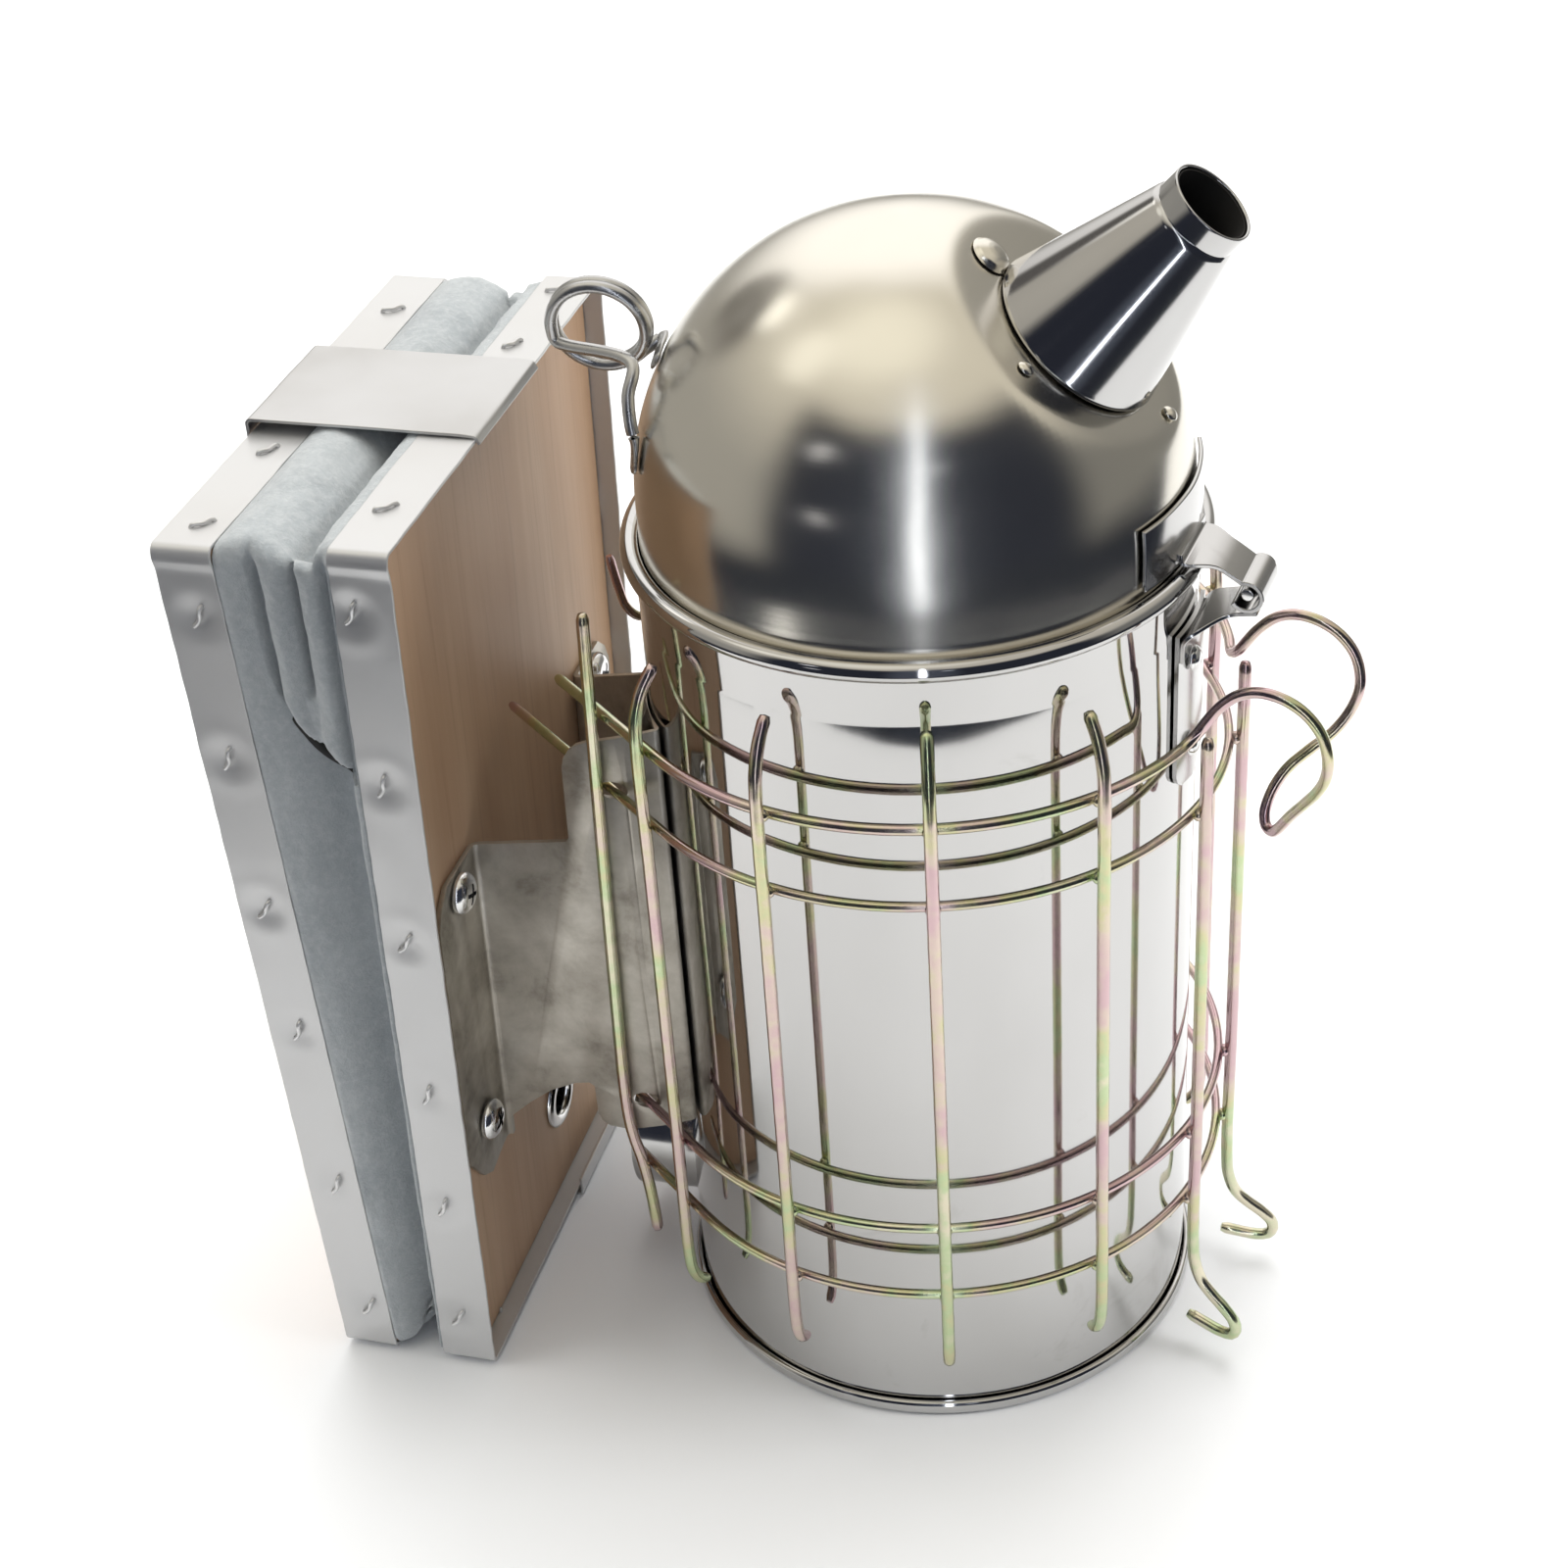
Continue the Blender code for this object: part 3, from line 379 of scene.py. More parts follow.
def aim(origin, direction):
    """A frame whose Z runs along the direction."""
    turn = Vector(direction).to_track_quat("Z", "Y").to_matrix().to_4x4()
    return Matrix.Translation(Vector(origin)) @ turn


def rounded(points, radius, steps=4):
    """A line with its inner corners rounded."""
    result = [Vector(points[0])]
    for before, here, after in zip(points, points[1:], points[2:]):
        a, b, c = Vector(before), Vector(here), Vector(after)
        to_a, to_c = a - b, c - b
        size = min(radius, 0.45 * to_a.length, 0.45 * to_c.length)
        start, end = b + to_a.normalized() * size, b + to_c.normalized() * size
        for i in range(steps + 1):
            t = i / steps
            result.append(start * (1 - t) ** 2 + b * 2 * t * (1 - t) + end * t * t)
    result.append(Vector(points[-1]))
    return result


def between(p, q, a, b, k):
    """The point at k on a line that has p at a and q at b."""
    return p * ((b - k) / (b - a)) + q * ((k - a) / (b - a))


def smooth_line(points, spacing):
    """Evenly close points on a curve through the given ones."""
    points = [Vector(p) for p in points]
    ends = [points[0] * 2 - points[1], *points, points[-1] * 2 - points[-2]]
    result = []
    for a, b, c, d in zip(ends, ends[1:], ends[2:], ends[3:]):
        gaps = [max(1e-4, (q - p).length ** 0.5) for p, q in ((a, b), (b, c), (c, d))]
        k0, k1, k2, k3 = 0, gaps[0], gaps[0] + gaps[1], sum(gaps)
        count = max(1, round((c - b).length / spacing))
        for i in range(count):
            k = k1 + (k2 - k1) * i / count
            p, q, r = between(a, b, k0, k1, k), between(b, c, k1, k2, k), between(c, d, k2, k3, k)
            result.append(between(between(p, q, k0, k2, k), between(q, r, k1, k3, k), k1, k2, k))
    return result + [points[-1]]


def clamp(value):
    return max(0, min(1, value))


def with_neighbours(line):
    """Each point of a line, the one before it and the one after it. An end stands in for what is missing."""
    return list(zip(line, [line[0], *line[:-1]], [*line[1:], line[-1]]))


def around(radius, turn, height):
    return radius * cos(turn), radius * sin(turn), height


def ring_faces(pairs, sides):
    """Faces between pairs of rings of point numbers, where a ring of one point is a tip."""
    faces = []
    for low, high in pairs:
        if len(low) == len(high) == 1:
            continue
        for i in range(sides):
            j = (i + 1) % sides
            corners = [low[i % len(low)], low[j % len(low)], high[j % len(high)], high[i % len(high)]]
            faces.append(tuple(dict.fromkeys(corners)))
    return faces


def turned(profile, steps, closed=True):
    """Points and faces of a profile of (radius, height) turned about Z."""
    points, rings = [], []
    for radius, height in profile:
        if radius < 1e-6:
            rings.append([len(points)])
            points.append((0, 0, height))
            continue
        rings.append(list(range(len(points), len(points) + steps)))
        points += [around(radius, 2 * pi * i / steps, height) for i in range(steps)]
    pairs = list(zip(rings, rings[1:]))
    if closed:
        pairs.append((rings[-1], rings[0]))
    return points, ring_faces(pairs, steps)


def lathe(name, profile, steps, mat, body, stands_for, place=WORLD, soft=0.3, **more):
    """A turned piece whose profile has its corners softened."""
    line = [(p.x, p.y) for p in rounded([(*p, 0) for p in profile], soft, 3)] if soft else profile
    closed = not (line[0][0] < 1e-6 and line[-1][0] < 1e-6)
    piece(name, turned(line, steps, closed), mat, body, stands_for, place=place, **more)


def shell_mesh(rows, wrap=False):
    """A closed skin on equal rows of (outer, inner) points. With wrap, the last row joins the first."""
    columns = len(rows[0])
    points = [pair[side] for side in (0, 1) for row in rows for pair in row]
    half = len(rows) * columns
    faces = []
    for r in range(len(rows) if wrap else len(rows) - 1):
        s = (r + 1) % len(rows)
        for c in range(columns - 1):
            a, b, d, e = r * columns + c, r * columns + c + 1, s * columns + c + 1, s * columns + c
            faces += [(a, b, d, e), (half + a, half + e, half + d, half + b)]
        for c in (0, columns - 1):
            a, b = r * columns + c, s * columns + c
            faces.append((a, b, half + b, half + a))
    if not wrap:
        for r in (0, len(rows) - 1):
            for a in range(r * columns, (r + 1) * columns - 1):
                faces.append((a, a + 1, half + a + 1, half + a))
    return points, faces


def tube_mesh(line, radius, sides=12, flat=None):
    """Points and faces of a round wire along a line of close points, its ends slightly rounded."""
    first, last = line[0], line[-1]
    spots = [(first, 0), (first, 0.72), *((p, 1) for p in line[1:-1]), (last, 0.72), (last, 0)]
    away = (line[1] - line[0]).normalized()
    normal = away.orthogonal().normalized()
    points, rings = [], []
    count = len(spots)
    for i, (spot, scale) in enumerate(spots):
        j = max(0, min(len(line) - 1, i - 1))
        before, after = line[max(0, j - 1)], line[min(len(line) - 1, j + 1)]
        along = (after - before).normalized()
        normal = (normal - along * normal.dot(along)).normalized()
        side = along.cross(normal)
        if scale == 0.0:
            rings.append([len(points)])
            points.append(tuple(spot + along * (-0.15 if i == 0 else 0.15) * radius))
            continue
        wide, thin, lean = (1, 1, None) if flat is None else flat(i / (count - 1), spot)
        if lean is not None:
            lean = (lean - along * lean.dot(along)).normalized()
            across = along.cross(lean)
        else:
            lean, across = normal, side
        wobble = 1 + 0.03 * noise.noise(spot * 0.35)
        rings.append(list(range(len(points), len(points) + sides)))
        for k in range(sides):
            turn = 2 * pi * k / sides
            offset = across * cos(turn) * wide + lean * sin(turn) * thin
            points.append(tuple(spot + offset * radius * scale * wobble))
    return points, ring_faces(zip(rings, rings[1:]), sides)


def merged(shapes):
    """Several (points, faces) as one."""
    points, faces = [], []
    for more, skin in shapes:
        faces += [tuple(i + len(points) for i in face) for face in skin]
        points += more
    return points, faces


def tube(name, points, radius, mat, body, stands_for, place=WORLD, spacing=1.0, sides=14, flat=None):
    shape = tube_mesh(smooth_line(points, spacing), radius, sides, flat)
    piece(name, shape, mat, body, stands_for, place=place, sharp=60)


def circle(center, radius, start, end, steps):
    """Evenly spaced points on an arc of a circle, from one angle to another in degrees."""
    for i in range(steps + 1):
        turn = radians(start + (end - start) * i / steps)
        yield (center[0] + radius * cos(turn), center[1] + radius * sin(turn))


def box_mesh(low, high):
    corners = [(x, y, z) for z in (low[2], high[2]) for y in (low[1], high[1]) for x in (low[0], high[0])]
    faces = [(0, 2, 3, 1), (4, 5, 7, 6), (0, 1, 5, 4), (2, 6, 7, 3), (0, 4, 6, 2), (1, 3, 7, 5)]
    return corners, faces


def prism_mesh(outline, axis, low, high):
    points = []
    for height in (low, high):
        for a, b in outline:
            point = [a, b]
            point.insert("xyz".index(axis), height)
            points.append(tuple(point))
    count = len(outline)
    faces = [tuple(range(count)), tuple(range(count, 2 * count))]
    faces += [(i, (i + 1) % count, (i + 1) % count + count, i + count) for i in range(count)]
    return points, faces


def rod_mesh(radius, start, end, steps=32):
    way = Vector(end) - Vector(start)
    place = aim(start, way)
    points, faces = turned([(0, 0), (radius, 0), (radius, way.length), (0, way.length)], steps, False)
    return [tuple(place @ Vector(p)) for p in points], faces


def lump(point, scale, seed=0.0):
    return noise.noise(Vector(point) / scale + Vector((seed, seed * 0.7, -seed)))


# Fire pot.

CAN_R, WALL = 51, 0.8
BEAD, BEAD_R = (51.7, 173.3), 1.9
AIR_Z = 23.5
FLARE = 0.045


def make_pot():
    start = -degrees(acos((CAN_R + FLARE * 9.1 - BEAD[0]) / BEAD_R))
    end = degrees(acos((CAN_R - WALL - BEAD[0]) / BEAD_R))
    profile = [(CAN_R, 1.2 + 160.6 * i / 44) for i in range(45)] + [(CAN_R, 162.2)]
    profile += [(CAN_R + FLARE * d, 162.3 + d) for d in (0.1, 0.4, 1.2, 2.4, 4, 6, 8)]
    profile += circle(BEAD, BEAD_R, start, 360 - end, 26)
    profile += [(CAN_R - WALL, 169.2 - 168 * i / 20) for i in range(21)]
    points, faces = turned(profile, 200)
    shaped = []
    for x, y, z in points:
        push = 1 + 0.0012 * lump((x, y, z * 0.5), 26) * min(1, (165 - z) / 30 if z < 165 else 0)
        shaped.append((x * push, y * push, z))
    hole = rod_mesh(14.8, (-70, 0, AIR_Z), (-20, 0, AIR_Z), 64)
    looks = {"modify": lambda obj: cut(obj, hole)}
    piece("pot_wall", (shaped, faces), POT_STEEL, "fire_pot", ["can_body"], **looks)
    inner = CAN_R - WALL - 0.3
    profile = [(0, 0), (44, 0), (46.5, 0), (51.4, 0), (52.3, 0.4), (52.6, 1.2), (52.55, 2.5), (52.1, 3.1)]
    profile += [(51.3, 3.2), (51.3, 0.9), (inner, 0.9), (inner, 2.6), (inner - 0.8, 2.6)]
    profile += [(inner - 0.8, 0.9), (0, 0.9)]
    lathe("pot_foot", profile, 160, POT_STEEL, "fire_pot", ["can_base"], soft=0.25)
    profile = [(14.9, 0), (14.5, 0.7), (14.5, 16), (13.7, 16), (13.7, 0.7), (14.1, -0.1)]
    place = aim((-63, 0, AIR_Z), (1, 0, 0))
    lathe("air_pipe", profile, 72, HINGE_STEEL, "fire_pot", ["air_tube"], place=place, soft=0.2)
    repaint("ash_grate", GRATE_STEEL)


# Lid.

DOME_R, DOME_Z, SEAT = 50, 182.1, 43.4
TILT = radians(41.3)
AXIS = Vector((sin(TILT), 0, cos(TILT)))
ACROSS = Vector((cos(TILT), 0, -sin(TILT)))
DENTS = (((-21.5, -20.5, 39.5), 4.5, 0.3), ((-27, -22, 34), 5.5, 0.22), ((5, -34, 35), 8, 0.12))


def seat_point(distance):
    """A point on the spout's axis, which passes 2 mm beside the dome's middle."""
    return Vector((0, 0, DOME_Z)) + AXIS * distance + ACROSS * 2


def dome_shape(point, inner):
    """Presses the flat seat into a ball, with a rounded rim, and adds the sheet's faint unevenness."""
    rel = Vector(point) - Vector((0, 0, DOME_Z))
    height = rel.dot(AXIS)
    limit = SEAT - (WALL if inner else 0)
    soft = 0.42
    if height > limit - 6:
        pressed = -soft * log(exp(-(height - limit) / soft) + 1) + limit
        rel += AXIS * (pressed - height)
    if not inner and rel.z > -4:
        away = clamp((limit - 2.5 - height) / 6)
        rel *= 1 + (0.0016 * lump(rel, 17, 3) + 0.0007 * lump(rel, 7, 5)) * away
        for spot, size, depth in DENTS:
            rel *= 1 - depth / DOME_R * exp(-((rel - Vector(spot)).length / size) ** 2)
    return tuple(rel + Vector((0, 0, DOME_Z)))


def make_dome():
    outer = [(DOME_R, 174.5), (DOME_R, 177), (DOME_R, 179.8)]
    inner = [(DOME_R - WALL, 174.5), (DOME_R - WALL, 178.5)]
    outer += circle((0, DOME_Z), DOME_R, 0, 90, 72)
    inner += circle((0, DOME_Z), DOME_R - WALL, 0, 90, 40)
    points, faces = turned(outer + inner[::-1], 180)
    edge = (len(outer) - 1) * 180 + 1
    shaped = [dome_shape(p, i >= edge) for i, p in enumerate(points)]
    hole = rod_mesh(14, seat_point(30), seat_point(60), 64)
    looks = {"place": HEAD, "modify": lambda obj: cut(obj, hole, place=HEAD)}
    piece("dome", (shaped, faces), DOME_STEEL, "lid", ["lid_dome"], **looks)


def make_nozzle():
    t = 0.7
    profile = [(15.7, 0), (16.2, 0.2), (16.42, 0.75), (16.2, 1.5), (8.42, 29.5), (8.15, 30.05)]
    profile += [(7.9, 30.35), (7.9, 34.2), (7.85, 34.5), (7.6, 34.6), (7.3, 34.4), (7.2, 30.6)]
    profile += [(8.3 - t, 29), (16.0 - t, 1.4), (15.7 - t, 0)]
    place = HEAD @ aim(seat_point(SEAT + 0.3), AXIS)
    lathe("spout", profile, 128, NOZZLE_STEEL, "lid", ["nozzle"], place=place, soft=0.35, sharp=50)
    profile = [(7.1, 34.1), (7.1, 30.6), (7.5, 28.9), (15.1, 1.4), (14.9, 1.4), (7.3, 28.9), (6.9, 30.6)]
    profile += [(6.9, 34.1)]
    lathe("spout_soot", profile, 96, SOOT_AND_PAINTED_SHADE, "lid", (), slot="steel_mirror", place=place, soft=0)
    up = AXIS.cross(Vector((0, 1, 0)))
    spots = (2.2, -20.9, 1.4, 0.8), (-0.7, 19.7, 3.6, 1.7), (-19.6, 3.8, 1.4, 0.8)
    for k, (side, rise, radius, height) in enumerate(spots, 1):
        shape = (1.1, 0), (1, 0.25 / height), (0.86, 0.55), (0.5, 0.9), (0.2, 1), (0, 1)
        profile = [(0, 0), *((radius * r, height * h) for r, h in shape)]
        spot = seat_point(SEAT + 0.3) + Vector((0, side, 0)) + up * rise
        place = HEAD @ aim(spot, AXIS)
        node = f"nozzle_boss_{k}"
        lathe(f"boss_{k}", profile, 40, DOME_STEEL, "lid", [node], slot="steel_mirror", place=place)


def make_handle():
    """The finger coil, whose two ends are hammered flat on the dome."""
    center = Vector((-54.5, -5.8, 211.2))
    axis = Vector((-0.05, 0.982, 0.179)).normalized()
    out = axis.cross(Vector((0, 0, 1))).normalized()
    up = out.cross(axis).normalized()
    middle = Vector((0, 0, DOME_Z))

    def on_dome(point, lift):
        return tuple(middle + (Vector(point) - middle).normalized() * (DOME_R + lift))

    foot = [on_dome((-43.4, -21, 190.6), 0.75), on_dome((-43.9, -20.5, 193.4), 0.8)]
    foot += [on_dome((-44.4, -20, 196), 1.1)]
    points = foot + [(-45.4, -19.6, 199), (-46.2, -17.4, 203.4), (-46.3, -13.6, 207.8)]
    start, end, steps = -20, 655, 44
    coil_radius, coil_width = 8.5, 2.9
    for i in range(steps + 1):
        turn = radians(start + (end - start) * i / steps)
        spoke = (up * sin(turn) - out * cos(turn)) * coil_radius
        points.append(tuple(center + axis * coil_width * (i / steps - 0.5) + spoke))
    points += [(-50, -3.4, 203.8), (-47.8, -1.9, 205)]
    points += [on_dome((-45.6, -0.2, 206.9), 1.3), on_dome((-44.4, -2.4, 206.9), 0.9)]
    points += [on_dome((-43.6, -5.6, 206.6), 0.75), on_dome((-42.8, -9.6, 206), 0.7)]

    def flat(share, spot):
        lift = (spot - middle).length - DOME_R
        press = clamp((1.5 - lift) / 0.7) if share < 0.1 or share > 0.9 else 0.0
        return 1 + 0.75 * press, 1 - 0.5 * press, (spot - middle).normalized() if press else None

    nodes = ["coil_handle", "handle_pad_1", "handle_pad_2"]
    tube("finger_coil", points, 1.15, COIL_WIRE, "lid", nodes, spacing=0.8, sides=16, flat=flat)


# Hinge.

PIN = (62, 170.2)
HINGE_SHEET = 0.8


def dome_radius(z):
    return DOME_R if z <= DOME_Z else sqrt(DOME_R**2 - (z - DOME_Z) ** 2)


def ribbon(path, widths):
    """A strip bent along a path of (x, z), with widths giving its (left, right) edges at an x."""
    rows = []
    for (x, z), a, b in with_neighbours(path):
        along = Vector((b[0] - a[0], b[1] - a[1])).normalized()
        normal = Vector((-along.y, along.x)) * HINGE_SHEET / 2
        left, right = widths(x)
        ys = [left + (right - left) * k / 16 for k in range(17)]
        rows.append([((x + normal.x, y, z + normal.y), (x - normal.x, y, z - normal.y)) for y in ys])
    return shell_mesh(rows)


def blend_width(x, spots):
    """A half width that eases between (x, width) spots."""
    for (a, low), (b, high) in zip(spots, spots[1:]):
        if x <= b:
            t = clamp((x - a) / (b - a))
            return low + (high - low) * t * t * (3 - 2 * t)
    return spots[-1][1]


def curved_leaf(name, edges, count, wave, body, node, width):
    """A sheet wrapped round the pot's axis, with a (height, inner radius, half angle) for each row."""
    rows = []
    for z, radius, half in edges:
        angles = [half * (k / count - 1) for k in range(2 * count + 1)]
        radii = [radius + wave * (1 + lump((a * 50, z, 3), 9)) for a in angles]
        rows.append([(around(r + HINGE_SHEET, a, z), around(r, a, z)) for a, r in zip(angles, radii)])
    piece(name, shell_mesh(rows), HINGE_STEEL, body, [node], place=HEAD, edge=(width, 60))


def make_hinge():
    heights = [176.2 + (187.8 - 176.2) * i / 19 for i in range(20)]
    rows = [(z, dome_radius(z) + 0.36, asin(18.2 / 50.5)) for z in heights]
    curved_leaf("lid_leaf", rows, 30, 0.12, "lid", "upper_hinge_leaf", 0.22)
    bend = [(50.9, 0, 178.4), (50.95, 0, 176.4), (54.2, 0, 176.3), (57, 0, 175.4), (60, 0, 173.55)]
    line = rounded(bend, 1.6, 5)
    path = [(p.x, p.z) for p in line] + list(circle(PIN, 2.7, 108, -150, 30))

    def width(x):
        half = blend_width(x, ((50, 7.9), (52.5, 7.5), (57.5, 5.3), (60, 5.2)))
        return -half, half

    piece("lid_tab", ribbon(path, width), HINGE_STEEL, "lid", place=HEAD, sharp=50, edge=(0.15, 60))
    rows = []
    for z in (128.6 + (162.4 - 128.6) * i / 23 for i in range(24)):
        drop = clamp((133.5 - z) / 4.9)
        rows.append((z, 51.33, asin((8.5 * sqrt(max(0, 1 - drop**2)) + 0.2) / 51.33)))
    curved_leaf("pot_leaf", rows, 12, 0, "fire_pot", "lower_hinge_leaf", 0.2)
    bend = [(51.75, 0, 157), (51.75, 0, 161.2), (53.4, 0, 162.9), (56.5, 0, 164.5), (60, 0, 165.7)]
    bend += [(63.6, 0, 166.1)]
    line = rounded(bend, 1.4, 4)

    def lower(x):
        near = blend_width(x, ((52.2, 8.4), (59.5, 3.7), (63.6, 3.4)))
        return -near, blend_width(x, ((52.2, 8.4), (58.5, 6.7), (63.6, 6.7)))

    tab = ribbon([(p.x, p.z) for p in line], lower)
    piece("pot_tab", tab, HINGE_STEEL, "fire_pot", place=HEAD, sharp=50, edge=(0.15, 60))
    ear = [(59.4, 165.6), (63.9, 166.1), (64.6, 168.4), *circle(PIN, 2.6, 0, 180, 20), (59.1, 168)]
    made = piece("hinge_ear", prism_mesh(ear, "y", 5.7, 6.7), HINGE_STEEL, "fire_pot", place=HEAD)
    cut(made, rod_mesh(1.5, (PIN[0], 0, PIN[1]), (PIN[0], 9, PIN[1]), 32), place=HEAD)
    bevel(made, 0.15, 50)
    profile = [(0, 0), (1.5, 0), (1.9, 0.3), (1.9, 0.7), (1.2, 0.7), (1.2, 11.9), (1, 12.1), (0, 12.1)]
    place = HEAD @ aim((PIN[0], 7.7, PIN[1]), (0, -1, 0))
    lathe("hinge_rod", profile, 32, SCREW_STEEL, "fire_pot", ["hinge_pin"], place=place, soft=0.15)
    spin = HEAD @ Matrix.Rotation(radians(-3), 4, "Z")
    for k, z in enumerate((155.2, 137.2), 1):
        profile = [(0, 0), (2.35, 0), (2.3, 0.35), (1.9, 0.95), (1.1, 1.4), (0, 1.5)]
        place = spin @ aim((52.45, 0, z), (1, 0, 0))
        lathe(f"rivet_{k}", profile, 28, SCREW_STEEL, "fire_pot", [f"hinge_rivet_{k}"], place=place)


# Guard.

RING_R, RING_Z = 57.1, (145.4, 129.2, 54.5, 37.7)
BAR_R, BAR_WIRE = 59.6, 1.2
WELD_R = (RING_R + BAR_R) / 2
LEAVE = 124.2


def off_ring(side, length, height):
    turn = radians(side * LEAVE)
    start = Vector(around(RING_R, turn, height))
    return tuple(start + Vector((-sin(turn), cos(turn), 0)) * side * length)


def hook_points():
    near = [(56.4, 14.6, 147.2), (58.4, 13.9, 150.4), (60.6, 13.7, 153.4), (63.4, 13.7, 155.9)]
    near += [(66.8, 13.7, 157), (71, 13.7, 156.4), (75, 13.7, 154.1), (78, 13.6, 150.2), (79.2, 13, 144.8)]
    left = near + [(78.6, 11.4, 139.8), (76.8, 9.2, 135.2), (74.2, 6.6, 130.6)]
    left += [(71.2, 4, 125.6), (68.6, 1.7, 120.8)]
    right = near + [(77.8, 12.3, 139.4), (75.2, 10.5, 135.4), (71.8, 8.2, 132.6)]
    right += [(68.2, 5.6, 129.2), (66, 3.4, 125)]
    path = [(x, -y, z) for x, y, z in left]
    path += [(x, -y, z) for x, y, z in ((67.2, 0.1, 118.9), (65.9, -1, 119.1), (65.3, -1.8, 121))]
    return path + right[::-1]


def make_rings():
    near_ends, far_ends = (36.2, 57.3, 33, 25.8), (34, 35.5, 35, 33)
    for k, height in enumerate(RING_Z):

        def along(start, end, steps):
            return [(x, y, height) for x, y in circle((0, 0), RING_R, start, end, steps)]

        line = [off_ring(-1, near_ends[k], height), off_ring(-1, near_ends[k] / 2, height)]
        if k:
            line += along(-LEAVE, LEAVE, 60)
        else:
            line += along(-LEAVE, -17, 26) + hook_points() + along(17, LEAVE, 26)
        line += [off_ring(1, far_ends[k] / 2, height), off_ring(1, far_ends[k], height)]
        if k == 1:
            bent = [(-61.4, 32.3, 0), (-64.1, 30.4, 0.2), (-66.2, 28.7, 1.4), (-67.8, 27.8, 4)]
            bent += [(-68.9, 27.6, 8.4), (-70.2, 27.5, 15.4)]
            line += [tuple(HEAD.inverted() @ Vector((x, y, height + z))) for x, y, z in bent]
        radius = 0.95 if k else 1.05
        name = f"guard_ring_{k + 1}"
        tube(f"ring_{k + 1}", line, radius, ZINC_WIRE, "fire_pot", [name], place=HEAD)


def side_bar(foot, top):
    shape = [(56, foot), (57.9, foot + 1.3), (59.1, foot + 4)]
    shape += [(BAR_R, z) for z in (foot + 8.5, 60, 90, 120, top - 13)]
    return shape + [(59.1, top - 8.6), (57.6, top - 4.2), (54.8, top)]


FRONT = [(59, 6.9), (62.2, 6.2), (66.3, 5.5), (68.7, 5.9), (69.6, 7.5), (69.1, 9.7), (67, 12.1)]
FRONT += [(64.3, 14.4), (61.7, 17.2), (60.1, 21.5), *((BAR_R, z) for z in (26.5, 60, 90, 120, 145.6))]
BARS = ((13, FRONT), (39, side_bar(19.8, 161.5)), (69, side_bar(19.6, 163.7)))
BARS += ((98.5, side_bar(20, 163.6)), (128, side_bar(17.1, 162.7)))


def show_bar(number, points):
    tube(f"bar_{number}", points, BAR_WIRE, ZINC_WIRE, "fire_pot", [f"guard_bar_{number}"], place=HEAD)


def make_bars():
    number = 0
    for side in (-1, 1):
        for angle, shape in BARS:
            number += 1
            turn = radians(side * angle)
            show_bar(number, [around(r, turn, z) for r, z in shape])
        number += 1
        line = [(-51.9, 21.5), (-52.5, 31), (-53.7, 40.4), (-54.9, 46), (-55.6, 53.1), (-55.2, 90)]
        line += [(-53.7, 152.7), (-53.3, 167.6)]
        back = HEAD.inverted()
        points = [back @ Vector((x, -32.5, z)) for x, z in line]
        points = [(p.x, -side * p.y, p.z) for p in points]
        show_bar(number, points)


def make_welds():
    """The small fused lumps where a bar crosses a ring."""
    ball, skin = turned(list(circle((0, 0), 1, -90, 90, 8)), 12, False)
    welds = []
    for side in (-1, 1):
        for angle, _ in BARS[:-1]:
            for z in RING_Z[1:] if angle == 13 else RING_Z:
                turn = radians(side * angle)
                place = Matrix.Translation(around(WELD_R, turn, z))
                place = place @ Matrix.Rotation(turn, 4, "Z") @ Matrix.Diagonal((1.15, 1.45, 1.25, 1))
                welds.append(([tuple(place @ Vector(p)) for p in ball], skin))
    piece("guard_welds", merged(welds), ZINC_WIRE, "fire_pot", place=HEAD)


# Bracket.

WEB_R, WEB_Y = 51.9, 30.5
SCREW_Y, SCREW_Z = 40.3, (108.5, 52.5)
FRONT_LEAN, LEAN_Z = 0.0205, 82


def lean(x, z):
    """How far the bracket's flanges follow the front board, which leans from upright."""
    return clamp((-62 - x) / 16) * FRONT_LEAN * (z - LEAN_Z)


